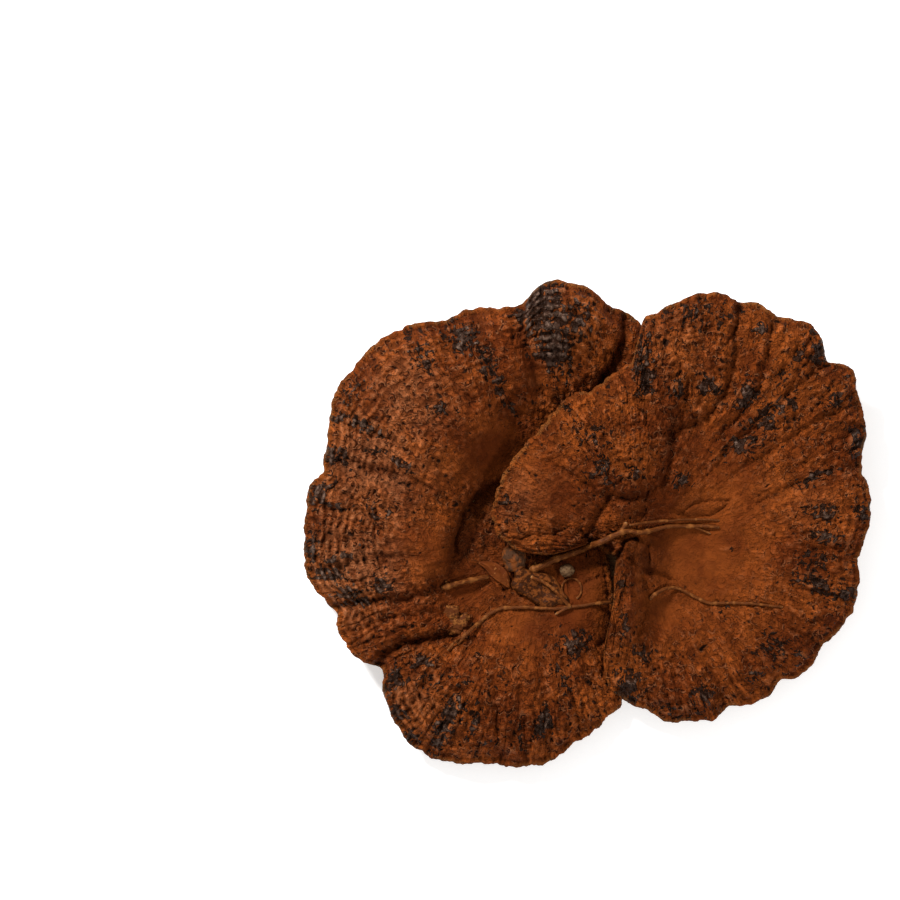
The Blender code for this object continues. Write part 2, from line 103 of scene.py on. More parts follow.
RIGHT_HEIGHTS = [
    (25, 81, 31), (45, 89, 28), (63, 83, 25), (85, 75, 23), (103, 55, 20),   # top margin
    (109, 33, 18), (112, 5, 16), (107, -23, 14), (93, -47, 13), (71, -67, 13),   # right margin
    (45, -77, 13), (25, -73, 15), (11, -63, 17), (9, -51, 19),            # bottom margin
    (15, -43, 23), (15, -31, 25), (15, -21, 24), (19, -12, 21),           # ridge along the seam
    (27, -31, 15), (37, -21, 12.5), (29, -7, 14), (25, 3, 18),            # hollow behind the ridge
    (-27, 1, 24), (-19, 17, 28), (-3, 37, 30), (13, 49, 31), (21, 65, 32),   # left lobe
    (-35, 9, 23), (-11, 47, 27), (7, 55, 28), (-9, 1, 24), (5, -5, 21),
    (20, 20, 27), (25, 38, 29), (38, 22, 20), (42, 40, 22),               # step at the lobe's foot
    (53, 1, 14), (45, -15, 12), (69, -15, 15), (53, -39, 14), (41, -55, 15),   # main hollow
    (85, -15, 17), (97, 1, 18), (85, 21, 19), (69, 33, 20), (53, 37, 20), (45, 21, 18),
    (77, 57, 24), (53, 69, 27), (37, 69, 30), (77, -47, 16), (61, -59, 16), (29, -67, 18),
]

# Furrows: (depth, width on the left of the path, width on its right, path). A narrow side is a step.
LEFT_FURROWS = [
    (4.5, 3.5, 1.4, [(15, 84), (13, 71), (10, 63), (5, 57)]),
    (4.0, 1.2, 4.0, [(-27, 90), (-26, 77), (-23, 65), (-19, 55)]),
    (3.0, 3.0, 3.0, [(-46, 86), (-42, 69), (-37, 55), (-29, 45)]),
    (3.0, 2.0, 3.5, [(-60, 86), (-57, 71), (-54, 59), (-47, 49)]),
    (1.6, 2.0, 2.0, [(-74, 80), (-68, 68), (-62, 60), (-56, 50)]),
    (1.2, 1.6, 1.6, [(-88, 67), (-78, 56), (-68, 46)]),
    (1.5, 1.8, 1.8, [(-99, 46), (-90, 41), (-83, 36), (-73, 29)]),
    (2.8, 2.0, 3.0, [(-108, 27), (-95, 25), (-79, 21), (-66, 16)]),
    (1.2, 1.4, 1.4, [(-114, 6), (-95, 6), (-82, 5)]),
    (2.2, 2.0, 3.0, [(-115, -21), (-99, -17), (-83, -14), (-70, -12)]),
    (3.2, 1.4, 3.0, [(-103, -33), (-90, -30), (-75, -29.4), (-65, -26.3), (-58.5, -24), (-56, -18),
                     (-54.4, -11)]),
    (1.4, 1.5, 1.5, [(-100, -45), (-86, -39), (-72, -36), (-60, -35)]),
    (5.5, 1.8, 2.6, [(-86, -59), (-81, -51), (-75, -47), (-66, -46), (-55, -44)]),
    (2.0, 3.0, 3.0, [(-53, -67), (-59, -81), (-64, -95)]),
    (1.6, 1.6, 1.6, [(-60, -56), (-69, -70), (-76, -82)]),
    (2.2, 2.2, 2.2, [(-39, -55), (-37, -71), (-36, -98)]),
    (1.4, 1.6, 1.6, [(-30, -52), (-27, -70), (-25, -95)]),
    (2.2, 2.2, 2.2, [(-19, -55), (-17, -71), (-15, -97)]),
    (1.6, 1.8, 1.8, [(-10, -56), (-6, -72), (-3, -90)]),
    (1.6, 1.8, 1.8, [(-2, -52), (3, -66), (6, -80)]),
    (4.6, 5.5, 1.5, [(-33, 17), (-36.4, 15.6), (-43.7, 11.7), (-49.9, 6), (-52.7, -3.5), (-54.4, -11)]),
    (2.4, 0.9, 0.5, [(-34, 16.6), (-37, 15.2), (-43.7, 11.5), (-49.8, 5.7), (-52.5, -3.5), (-54, -10)]),
    (0.9, 9.0, 9.0, [(-40, 8), (-43, -2), (-44, -12)]),
    (1.8, 1.1, 1.1, [(-41.4, 3.8), (-45.4, -3.5), (-48.2, -11.4)]),
    (1.2, 0.9, 0.9, [(-37, 2), (-40, -5), (-42, -12)]),
    (2.0, 5.0, 5.0, [(-14, -21.5), (-8, -25)]),
    (-1.6, 2.0, 2.0, [(-25, -13.5), (-17, -15)]),
    (1.0, 0.5, 0.5, [(-9, -20), (-7.2, -28)]),
    (0.9, 0.5, 0.5, [(-12.4, -18), (-12, -22)]),
    (1.0, 0.7, 0.7, [(-1.7, -23.4), (4.8, -21.4), (8.3, -20.9)]),
    (0.8, 0.4, 0.4, [(1, -13), (5, -15.5), (8, -17)]),
    (3.0, 1.2, 1.0, [(5, -48.5), (7, -47), (11, -45.4)]),
    (2.6, 1.0, 1.0, [(-33.5, -26.6), (-33, -26.6)]),
]
RIGHT_FURROWS = [
    (3.3, 3.6, 1.2, [(60, 92), (58, 76.6), (57.5, 65.4), (55.2, 57), (51.9, 48.6), (44, 41.8), (33, 38)]),
    (2.5, 3.6, 1.3, [(75, 86), (72, 71), (68, 57), (61, 45), (54, 38)]),
    (2.4, 3.6, 1.3, [(97, 66), (87, 59), (77, 51), (65, 39), (55, 30)]),
    (1.9, 3.4, 1.3, [(110, 50), (97, 45), (83, 37), (69, 27), (58, 20)]),
    (1.6, 3.0, 1.5, [(113, 25), (99, 23), (85, 17), (70, 10)]),
    (2.0, 1.2, 1.8, [(17, 73), (21, 63), (26, 50)]),
    (2.0, 2.0, 2.0, [(115, -9), (99, -9), (85, -11)]),
    (1.6, 1.6, 1.6, [(110, -33), (97, -29), (84, -26)]),
    (2.0, 2.2, 2.2, [(98, -55), (84, -44), (72, -34)]),
    (1.6, 1.6, 1.6, [(88, -66), (76, -53), (66, -42)]),
    (2.4, 1.8, 2.4, [(75, -73), (66, -60), (58, -47)]),
    (2.6, 1.6, 2.2, [(56, -80), (53, -66), (48, -54)]),
    (1.4, 1.6, 1.6, [(38, -82), (37, -66), (34, -52)]),
    (1.6, 1.6, 1.6, [(90, 77), (80, 66), (72, 54)]),
    (1.4, 1.2, 2.0, [(46, 92), (46, 76), (44, 62)]),
    (2.6, 2.4, 0.8, [(38, 53), (37.8, 48.5), (35, 42.8), (31.8, 37.8), (31.9, 30.5), (31.4, 21.5), (28.8, 17),
                     (23.8, 13.6), (17, 11.4), (12, 11.6), (8.6, 12), (5, 7), (1, 0), (-2.6, -5)]),
    (1.0, 0.6, 0.6, [(23.2, 13.8), (23.2, 6.2), (22, 2.4)]),
    (1.8, 1.0, 1.8, [(-16, 25), (-7, 21), (1, 15), (7, 11)]),
    (2.0, 1.3, 0.7, [(-27, -5), (-19, -4), (-11, -1.9), (-8, -0.5)]),
    (1.6, 0.8, 0.8, [(12.8, -12.9), (17, -13.5), (21, -17), (25, -19)]),
    (-3.4, 3.6, 3.2, [(14.5, -17), (15.5, -22), (17, -28), (16, -34), (15, -40)]),
    (-1.2, 2.4, 2.4, [(16, -20), (17, -24)]), (-1.4, 2.2, 2.2, [(17, -31), (16.5, -33)]),
    (-1.2, 2.5, 2.5, [(18, -9.5), (20, -11)]),
    (-1.6, 2.4, 2.4, [(14, -37), (15, -44)]),
    (2.4, 1.4, 2.2, [(22, -21), (23.5, -28), (22.5, -35), (20, -42)]),
    (1.2, 0.7, 0.7, [(-14, -2), (-12, -6)]),
    (3.5, 1.0, 1.0, [(12, -12.5), (9, -9), (5, -7.5), (-1, -5), (-4, -2)]),
    (3.5, 0.9, 0.9, [(12, -12.5), (14, -9), (15, -6.5), (19, -5)]),
    (2.2, 0.7, 1.0, [(19, -5), (24, -8.5), (25, -14), (24, -18)]),
    (2.6, 0.8, 1.1, [(25, -18.5), (30, -20), (34, -21.5)]),
    (1.2, 0.5, 0.5, [(36.8, 4), (42.4, 8.6), (48.5, 9.7), (57.5, 9.4), (49.1, 2.9), (44, 3.5)]),
    (-1.0, 2.0, 2.0, [(42.5, 6), (51, 7)]),
    (1.6, 1.4, 1.0, [(34, 5), (41, 3)]),
]

# Patches of grey-black varnish: (x, y, half length, half width, direction in degrees, strength).
LEFT_SOOT = [
    (-101, 27, 5.5, 4.5, 0, 1.0), (-107, 14, 8, 4.5, 60, 1.0), (-101, 7, 8, 1.8, -12, 0.9),
    (-111, -9, 8, 4.5, 90, 1.0), (-100, -13, 8.5, 1.9, 12, 1.0), (-105, -20, 10, 3.6, 5, 1.0),
    (-94, -28, 10, 4.6, -12, 0.95), (-90, 40, 10, 2.6, -30, 0.9), (-99, 43, 4, 3, 0, 0.9),
    (-60, 46, 7, 2.8, 0, 0.9), (-74, 24, 5.5, 2.2, -22, 1.0), (-67, 68, 10, 4, -58, 0.7),
    (-49, 74, 9, 6.5, -40, 0.95), (-39, 62, 17, 3.4, -65, 0.85), (-31, 47, 9, 2.8, -50, 0.7),
    (-20, 87, 12, 10.5, 90, 1.6), (-14, 71, 14, 8.5, 90, 1.4), (-5, 82, 10, 7.5, 80, 0.98),
    (-78, -62, 6, 6, 0, 0.85), (-66, -54, 6, 3.6, 0, 0.95), (-62, -62, 5, 5, 0, 0.7),
    (-77, -76, 6, 5, -60, 0.8), (-71, -85, 5, 3.5, -45, 0.9), (-56, -78, 15, 4.8, 67, 1.1),
    (-45, -78, 8, 3, 75, 0.6), (-18, -80, 9, 3.4, 90, 0.9), (-6, -47, 8, 7, 0, 1.0),
    (-82, -23, 6, 5, 90, 0.6), (-86, 3, 6, 3, 90, 0.6), (-79, 5, 4, 2.4, 60, 0.7),
    (-85, 30, 5, 1.6, -10, 0.8), (-27, -84, 5, 2, 90, 0.6), (-40, -88, 6, 2, 0, 0.5),
    (-10, -62, 8, 4, -60, 0.5), (-45, -52, 4, 2, 60, 0.6), (-92, 55, 8, 3, 50, 0.5),
]
RIGHT_SOOT = [
    (22, 62, 14, 5, 90, 1.05), (48, 55, 7, 4, 0, 0.95), (35, 55, 5, 4, 90, 0.8),
    (63, 52, 9, 4.2, 60, 1.0), (72, 44, 15, 5.5, 35, 0.85), (63, 32, 13, 5.5, 20, 0.8),
    (69, 78, 4, 3, 0, 1.0), (92, 70, 9, 3.6, 100, 0.95), (84, 68, 7, 1.8, 60, 0.8),
    (100, 51, 7.5, 5.5, 45, 0.8), (107, 34, 7, 5, 100, 0.95), (91, 19, 9, 3, 20, 0.95),
    (94, 5, 7.5, 4.2, 0, 0.95), (111, 6, 6, 4, 90, 0.9), (95, -5, 9, 3.4, -10, 0.95),
    (91, -14, 9, 4, 0, 0.6), (91, -23, 11, 5.5, -15, 0.95), (103, -28, 7, 3, 5, 0.9),
    (109, -20, 7, 2.4, 90, 0.7), (55, -9.5, 4.5, 1.8, 0, 0.9), (38, 18, 4.6, 4, 60, 0.85),
    (-9, 47, 2.6, 2.6, 0, 1.0), (1, 36, 9, 5, -20, 0.6), (5, 22, 8, 8, 0, 0.7),
    (19, 20, 5.5, 3, 70, 0.85), (-33, 9, 4.5, 1.0, 0, 1.0), (-32.5, 10.5, 3, 0.9, 90, 1.0),
    (76, -49, 10, 8, -40, 0.65), (16, -65, 8, 7, -70, 1.0), (21, -51, 6, 5, 0, 0.6),
    (47, -68, 5, 4.4, 0, 0.95), (67, -60, 5, 4, 0, 0.6), (13, -24, 6, 2.6, 90, 0.7),
    (15, -40, 8, 3, 90, 0.7), (47, 84, 14, 6, 10, 0.55), (29, 84, 8, 3, 20, 0.5),
    (-29, 3, 3, 2, 0, 0.6), (40, -75, 12, 4, 0, 0.5), (80, 60, 8, 3, 35, 0.5), (56, -34, 6, 3, 40, 0.4),
]

# Where the growth rings stand out: (x, y, radius, strength).
LEFT_RINGS = [(-105, 0, 30, 1.0), (-98, -25, 22, 1.0), (-95, 40, 30, 0.8), (-14, 82, 22, 1.0),
              (-70, 60, 30, 0.5), (-75, -75, 18, 0.8), (-50, 72, 22, 0.4)]
RIGHT_RINGS = [(110, 0, 25, 0.35), (40, 85, 25, 0.35), (25, -72, 18, 0.3)]
# Where the skin is dusty: (x, y, radius, strength).
LEFT_DUSTS = [(-88, 22, 30, 1.0), (-96, -18, 26, 1.0), (-72, 50, 22, 0.8), (-12, 78, 16, 0.5),
              (-70, -72, 18, 0.5)]
RIGHT_DUSTS = [(-28, 8, 16, 0.6), (35, 74, 20, 0.35), (92, 8, 16, 0.3)]
# Where dark powder has gathered, with shade painted into these hollows and recesses as well: (x, y, radius,
# strength).
LEFT_STAINS_AND_SHADE = [(-44, -6, 13, 1.0), (-38, 5, 10, 0.9), (-42, -18, 10, 0.7), (-32, -30, 13, 0.5),
               (-12, -12, 9, 0.6), (0, -22, 12, 0.55), (-18, -34, 13, 0.40), (8, 58, 8, 0.7),
               (-24, 56, 6, 0.4)]
RIGHT_STAINS_AND_SHADE = [(27, -13, 11, 0.75), (20, 5, 8, 0.4), (8, -8, 7, 0.6), (26, -33, 9, 0.5), (40, 8, 9, 0.35),
                (34, 34, 8, 0.35), (-22, 6, 9, 0.25)]
# Where the skin is rubbed smooth: (x, y, radius, strength).
LEFT_SMOOTH = [(-35, 28, 22, 0.9), (-62, -10, 16, 0.7), (-48, -25, 14, 0.8), (-5, -28, 24, 1.0),
               (-25, -40, 16, 0.8), (-20, 60, 10, 0.6)]
RIGHT_SMOOTH = [(45, -10, 34, 0.95), (30, -35, 14, 0.9), (-12, 12, 16, 0.7), (60, 10, 24, 0.7),
                (46, 30, 10, 0.6), (-18, 22, 16, 0.5)]


def hashed(ix, iy, seed):
    """A repeatable number between 0 and 1 for each lattice corner."""
    n = (ix.astype(np.int64) * 374761393 + iy.astype(np.int64) * 668265263 + seed * 974634777) & 0x7FFFFFFF
    n = ((n ^ (n >> 13)) * 1274126177) & 0x7FFFFFFF
    n = ((n ^ (n >> 11)) * 668265263) & 0x7FFFFFFF
    return ((n ^ (n >> 15)) & 0xFFFF) / 65535.0


def noise(x, y, seed):
    """Gradient noise in the plane, about -1 to 1."""
    ix, iy = np.floor(x), np.floor(y)
    fx, fy = x - ix, y - iy
    sx, sy = fx ** 3 * (fx * (fx * 6 - 15) + 10), fy ** 3 * (fy * (fy * 6 - 15) + 10)

    def corner(cx, cy):
        turn = 2 * math.pi * hashed(ix + cx, iy + cy, seed)
        return (fx - cx) * np.cos(turn) + (fy - cy) * np.sin(turn)

    low = corner(0, 0) * (1 - sx) + corner(1, 0) * sx
    high = corner(0, 1) * (1 - sx) + corner(1, 1) * sx
    return 1.5 * (low * (1 - sy) + high * sy)


def layered(x, y, octaves, seed):
    total = np.zeros(np.shape(x))
    for k in range(octaves):
        total = total + noise(x * 2 ** k + 7.3 * k, y * 2 ** k - 3.1 * k, seed + k) / 2 ** k
    return total


def cells(x, y, seed):
    """Distance to the nearest scattered point, and that point's own number."""
    ix, iy = np.floor(x), np.floor(y)
    nearest, number = np.full(np.shape(x), 9.0), np.zeros(np.shape(x))
    for cx in (-1, 0, 1):
        for cy in (-1, 0, 1):
            px = ix + cx + hashed(ix + cx, iy + cy, seed)
            py = iy + cy + hashed(ix + cx, iy + cy, seed + 1)
            away = np.hypot(x - px, y - py)
            closer = away < nearest
            nearest = np.where(closer, away, nearest)
            number = np.where(closer, hashed(ix + cx, iy + cy, seed + 2), number)
    return nearest, number


def ramp(value, low, high):
    share = np.clip((value - low) / (high - low), 0, 1)
    return share * share * (3 - 2 * share)


def plate_kernel(distance):
    return distance ** 2 * np.log(distance + 1e-9)


def smooth_heights(marks):
    """Fit a thin plate through the marks and return it as a function of x and y."""
    known = np.array(marks, float)
    spot, height = known[:, :2], HOLLOW_FLOOR + RELIEF * (known[:, 2] - HOLLOW_FLOOR)
    count = len(known)
    spread = np.linalg.norm(spot[:, None] - spot[None], axis=2)
    flat = np.hstack([np.ones((count, 1)), spot])
    system = np.block([[plate_kernel(spread), flat], [flat.T, np.zeros((3, 3))]])
    answer = np.linalg.solve(system, np.concatenate([height, np.zeros(3)]))
    weight, plane = answer[:count], answer[count:]

    def height_at(x, y):
        total = plane[0] + plane[1] * x + plane[2] * y
        for (px, py), w in zip(spot, weight):
            total = total + w * plate_kernel(np.hypot(x - px, y - py))
        return total

    return height_at


def side_of_path(x, y, path):
    """Distance from a path, above zero on its left and below zero on its right."""
    nearest = np.full(np.shape(x), 1e9)
    signed = np.zeros(np.shape(x))
    for (ax, ay), (bx, by) in zip(path, path[1:]):
        dx, dy = bx - ax, by - ay
        along = np.clip(((x - ax) * dx + (y - ay) * dy) / (dx * dx + dy * dy), 0.0, 1.0)
        away = np.hypot(x - ax - along * dx, y - ay - along * dy)
        closer = away < nearest
        side = np.where(dx * (y - ay) - dy * (x - ax) > 0, 1.0, -1.0)
        signed = np.where(closer, away * side, signed)
        nearest = np.where(closer, away, nearest)
    return signed


def furrowed(x, y, furrows):
    """How far the furrows sink the skin."""
    wx, wy = x + 0.9 * noise(x / 6, y / 6, 41), y + 0.9 * noise(x / 6, y / 6, 42)
    wx, wy = wx + 0.35 * noise(x / 1.8, y / 1.8, 43), wy + 0.35 * noise(x / 1.8, y / 1.8, 44)
    sunk = np.zeros(np.shape(x))
    for depth, left, right, path in furrows:
        signed = side_of_path(wx, wy, path)
        width = np.where(signed > 0, left, right)
        sunk = sunk + depth * np.exp(-np.abs(signed / width) ** 1.6)
    return sunk


def patches(x, y, spots):
    """The strongest of the oval patches at each point: over 1 at a middle, below 0 away from them all."""
    best = np.full(np.shape(x), -0.35)
    for px, py, long, wide, turn, strength in spots:
        c, s = math.cos(math.radians(turn)), math.sin(math.radians(turn))
        along, across = (x - px) * c + (y - py) * s, (y - py) * c - (x - px) * s
        best = np.maximum(best, strength * (1.25 - np.hypot(along / long, across / wide)))
    return best


def around(x, y, spots):
    best = np.zeros(np.shape(x))
    for px, py, radius, strength in spots:
        best = np.maximum(best, strength * np.exp(-(np.hypot(x - px, y - py) / radius) ** 2 * 1.4))
    return best


def fine_directions(margin, count, crowd):
    """Directions round a cap, crowded where the cap shows, and the reach of its margin in each."""
    evenly = np.linspace(0, 360, 3601)[:-1]
    weight = np.cumsum(crowd(evenly))
    weight = np.concatenate([[0.0], weight]) / weight[-1]
    degrees = np.interp(np.arange(count) / count, weight, np.linspace(0, 360, 3601))
    known = sorted(margin)
    raw = np.interp(evenly, [a for a, r in known], [r for a, r in known], period=360)
    kernel = np.exp(-(np.arange(-30, 31) / 11.0) ** 2)
    smooth = np.convolve(np.concatenate([raw[-30:], raw, raw[:30]]), kernel / kernel.sum(), "valid")

    def reach(turn):
        return np.interp(turn, evenly, smooth, period=360)

    return degrees, reach(degrees), reach


class Cap:
    """The shape of one cap: where its margin is and how high its skin lies."""

    def __init__(self, centre, hub, margin, heights, marks, seed, cut, crowd):
        self.centre, self.hub, self.seed, self.cut = centre, hub, seed, cut
        self.degrees, self.far, self.reach = fine_directions(margin, SECTORS, crowd)
        self.height = smooth_heights(heights)
        self.soot, self.rings, self.smooth, self.stains, self.dusts = marks

    def inward(self, x, y):
        dx, dy = x - self.centre[0], y - self.centre[1]
        return self.reach(np.degrees(np.arctan2(dy, dx)) % 360) - np.hypot(dx, dy)

    def plain(self, x, y):
        droop = ROLL_DROP * np.clip(1 - self.inward(x, y) / ROLL_WIDTH, 0, 1) ** 2
        return self.height(x, y) - droop

    def growth(self, x, y):
        """Distance out from the hub, and distance round it as it would be at a fixed radius."""
        dx, dy = x - self.hub[0], y - self.hub[1]
        turn = (np.degrees(np.arctan2(dy, dx)) - self.cut) % 360
        return np.hypot(dx, dy), np.radians(turn) * 80.0

    def ring_depth(self, x, y):
        """How far in a growth ring lies; rings lose the margin's lobes as they go inward."""
        dx, dy = x - self.centre[0], y - self.centre[1]
        turn = np.degrees(np.arctan2(dy, dx)) % 360
        inward = self.reach(turn) - np.hypot(dx, dy)
        spread = [self.reach((turn + shift) % 360) for shift in range(-16, 17, 4)]
        return inward + (np.mean(spread, axis=0) - self.reach(turn)) * ramp(inward, 3, 28)

    def detail(self, x, y):
        """All the relief in millimetres, its finer part, and how sooty, pitted and smooth the skin is."""
        seed = self.seed
        out, round_it = self.growth(x, y)
        margin = self.inward(x, y)
        ring_share = around(x, y, self.rings)
        smooth = np.clip(around(x, y, self.smooth) * 1.15, 0, 1)
        rough = 1 - 0.85 * smooth
        sway = 0.55 * noise(x / 11, y / 11, seed + 1) + 0.25 * noise(x / 4, y / 4, seed + 2)
        ring = np.sin(2 * math.pi * (self.ring_depth(x, y) / RING_SPACING + sway))
        round_it = round_it + 1.6 * noise(x / 9, y / 9, seed + 3)
        bead = np.sin(2 * math.pi * (round_it / BEAD_SPACING + 0.3 * noise(x / 5, y / 5, seed + 4)))
        chequer = (0.5 + 0.5 * ring) * (0.65 + 0.35 * bead)
        wrinkle = noise(round_it / 2.1, out / 8, seed + 5) + 0.6 * noise(round_it / 0.95, out / 4.5, seed + 6)
        wx, wy = x + 1.3 * noise(x / 3.1, y / 3.1, seed + 30), y + 1.3 * noise(x / 3.1, y / 3.1, seed + 31)
        swell = layered(x / 13, y / 13, 2, seed + 7)
        lump = layered(wx / 4.6, wy / 4.6, 2, seed + 9)
        scale = ramp(noise(wx / 2.4, wy / 2.4, seed + 11), -0.15, 0.15)
        grain = layered(x / 1.7, y / 1.7, 2, seed + 12)
        away, number = cells(wx / PIT_SPACING, wy / PIT_SPACING, seed + 15)
        pitting = ramp(0.34 + 0.28 * noise(x / 9, y / 9, seed + 18) - 0.32 * smooth - number, 0.0, 0.1)
        pit = pitting * np.exp(-(away / (0.12 + 0.5 * number)) ** 2)
        collar = pitting * np.exp(-((away - 0.30) / 0.10) ** 2)
        soot = patches(x, y, self.soot) - 0.28 * smooth
        soot = soot + 0.26 * layered(x / 3.6, y / 3.6, 2, seed + 20)
        soot = soot + ring_share * (0.24 * ring + 0.16 * bead)
        blister = 1 - np.abs(noise(wx / 1.9, wy / 1.9, seed + 28)) * 2.2
        rise = rough * (0.66 * lump + 0.36 * wrinkle * ramp(out, 12, 45) + 0.22 * grain)
        crease = np.exp(-(noise(round_it / 5.5, out / 35, seed + 36) / 0.10) ** 2) * ramp(margin, 36, 10)
        rise = rise + rough * (0.48 * (scale - 0.5) - 0.85 * crease) + 0.12 * wrinkle * smooth
        rise = rise + ring * (0.12 + 0.55 * ring_share) * rough * ramp(margin, 0, 4)
        rise = rise + 0.75 * ring_share * chequer + ramp(soot, 0.3, 0.7) * (0.30 + 0.34 * blister)
        rise = rise - 0.85 * pit + 0.22 * collar
        rim = np.exp(-((margin - 2.4 - 0.5 * noise(round_it / 5, 0 * out, seed + 33)) / 0.6) ** 2)
        near_rim = 1 - ramp(margin, 1.0, 4.0)
        rise = rise - 0.55 * rim + 0.30 * near_rim * noise(round_it / 1.7, out / 2, seed + 34)
        edge = ramp(margin, -1.0, 2.5)
        return (rise + swell) * edge, rise * edge, soot, pit + 0.35 * rim, smooth


def left_crowd(degrees):
    hidden = (degrees > 312) | (degrees < 60)
    return np.where(hidden, 0.35, 1.0)


def even_crowd(degrees):
    return np.ones(np.shape(degrees))


SECTORS = 768
LEFT = Cap(LEFT_CENTRE, (-18, -12), LEFT_MARGIN, LEFT_HEIGHTS,
           (LEFT_SOOT, LEFT_RINGS, LEFT_SMOOTH, LEFT_STAINS_AND_SHADE, LEFT_DUSTS), 100, 30.0, left_crowd)
RIGHT = Cap(RIGHT_CENTRE, (20, -10), RIGHT_MARGIN, RIGHT_HEIGHTS,
            (RIGHT_SOOT, RIGHT_RINGS, RIGHT_SMOOTH, RIGHT_STAINS_AND_SHADE, RIGHT_DUSTS), 300, 215.0, even_crowd)
LEFT_SEAT = ((-16.0, -20.0), (17.0, 18.0))
RIGHT_SEAT = ((29.0, -20.0), (11.0, 15.0))


def seated(x, y, flesh, seat):
    """Bring the underside down to the stem's top over the seat, and keep it above the whole stem."""
    centre, radii = seat
    size = np.hypot((x - centre[0]) / radii[0], (y - centre[1]) / radii[1])
    share = 1 - ramp(size, 1.0, 1.5)
    rest = STEM_HEIGHT + GAP
    near_stem = np.hypot((x - STEM_CENTRE[0]) / STEM_RADII[0], (y - STEM_CENTRE[1]) / STEM_RADII[1]) < 1.4
    level = flesh * (1 - share) + rest * share
    return np.where(near_stem, np.maximum(level, rest), level)


def left_top(x, y):
    skin = LEFT.plain(x, y) - furrowed(x, y, LEFT_FURROWS)
    return np.maximum(skin, STEM_HEIGHT + GAP + MIN_FLESH)


def left_under(x, y):
    flesh = np.minimum(LEFT.plain(x, y) - FLESH, left_top(x, y) - MIN_FLESH)
    return seated(x, y, flesh, LEFT_SEAT)


def right_under(x, y):
    flesh = RIGHT.plain(x, y) - FLESH - 0.6 * furrowed(x, y, RIGHT_FURROWS)
    flesh = seated(x, y, flesh, RIGHT_SEAT)
    over_left = LEFT.inward(x, y) > -4.0
    return np.maximum(flesh, np.where(over_left, left_top(x, y) + OVERLAP_GAP, 0.0))


def right_top(x, y):
    skin = RIGHT.plain(x, y) - furrowed(x, y, RIGHT_FURROWS)
    return np.maximum(skin, right_under(x, y) + MIN_FLESH)


def joined_rows(start, count, next_start, next_count):
    """Faces between two rings of points, where the second has as many, twice or half as many."""
    i = np.arange(min(count, next_count))
    if count == next_count:
        j = (i + 1) % count
        return [], np.stack([start + i, next_start + i, next_start + j, start + j], 1).tolist()
    few, many = (start, next_start) if next_count > count else (next_start, start)
    j = (i + 1) % len(i)
    a, b = few + i, few + j
    p, q, r = many + 2 * i, many + 2 * i + 1, many + 2 * j
    if next_count > count:
        sides = ((a, p, q), (a, q, b), (q, r, b))
    else:
        sides = ((p, a, q), (a, b, q), (q, b, r))
    return np.concatenate([np.stack(s, 1) for s in sides]).tolist(), []


SKIN_STEP = 0.62
SCALLOP = 1.3
LIP_STEPS = 7
UNDER_RINGS = 40


def cap_rings(cap, top, under):
    """Rings of points (x, y, z and surface values) over the skin, round the lip and back underneath."""
    def waver(scale, line, seed):
        return noise(cap.degrees * scale, 0 * cap.degrees + line, cap.seed + seed)

    scallop = np.abs(np.sin(cap.degrees * 0.42 + 1.5 * waver(0.12, 5, 52))) - 0.7
    jag = 0.5 * waver(0.55, 0, 50) + 0.28 * waver(1.4, 3, 51)
    jag = jag + SCALLOP * scallop * (0.6 + 0.6 * waver(0.2, 0, 53))
    far = cap.far + jag * np.clip(cap.far / 60, 0.2, 1)
    lip = np.minimum(LIP, 0.2 * far)
    count = int(far.mean() / SKIN_STEP)
    rings = []

    def ring(out, stride, kind):
        turn = np.radians(cap.degrees[::stride])
        x = cap.centre[0] + out[::stride] * np.cos(turn)
        y = cap.centre[1] + out[::stride] * np.sin(turn)
        rings.append({"x": x, "y": y, "kind": kind})
        return rings[-1]

    for step in range(1, count + 1):
        share = step / count
        stride = 1 if share > 0.5 else 2 if share > 0.25 else 4 if share > 0.12 else 8
        ring((far - lip) * share, stride, "skin")
    for step in range(1, LIP_STEPS):
        turn = math.pi * step / LIP_STEPS
        made = ring(far - lip * (1 - math.sin(turn)), 1, "lip")
        made["cos"] = math.cos(turn)
    for step in range(UNDER_RINGS, 0, -1):
        share = step / UNDER_RINGS
        stride = 1 if step == UNDER_RINGS else 2 if step == UNDER_RINGS - 1 else 4 if share > 0.3 else 8
        ring((far - lip) * share, stride, "under")
    skins = [r for r in rings if r["kind"] == "skin"]
    lips = [r for r in rings if r["kind"] == "lip"]
    unders = [r for r in rings if r["kind"] == "under"]
    fill_skin(cap, skins, top)
    fill_under(cap, unders, under)
    fill_lip(cap, lips, skins[-1], unders[0])
    return rings


def together(rings, name):
    return np.concatenate([r[name] for r in rings])


def shared_out(rings, **values):
    start = 0
    for r in rings:
        size = len(r["x"])
        for name, value in values.items():
            r[name] = value[start:start + size]
        start += size


def fill_skin(cap, rings, top):
    x, y = together(rings, "x"), together(rings, "y")
    rise, crest, soot, pit, smooth = cap.detail(x, y)
    base = top(x, y)
    # How deep the furrows sink the skin, used for the painted shade in them.
    sunk = np.clip((cap.plain(x, y) - base) / FULL_FURROW, 0, 1)
    out, round_it = cap.growth(x, y)
    # Darker for dark powder and painted shade in the hollows, below zero where the skin is dusty.
    stain = around(x, y, cap.stains) - around(x, y, cap.dusts)
    shared_out(rings, z=base + rise, soot=soot, pit=pit, smooth=smooth, crest=crest, sunk=sunk, out=out,
               round=round_it, stain=stain, under=0 * x)


def fill_under(cap, rings, under):
    x, y = together(rings, "x"), together(rings, "y")
    out, round_it = cap.growth(x, y)
    level, zero = under(x, y), 0 * x
    off_stem = ramp(level, STEM_HEIGHT + 1, STEM_HEIGHT + 4)
    level = level + 0.25 * layered(x / 6, y / 6, 3, cap.seed + 60) * off_stem
    shared_out(rings, z=level, soot=zero - 1, pit=zero, smooth=zero, crest=zero, sunk=zero, out=out,
               round=round_it, stain=zero, under=zero + 1)


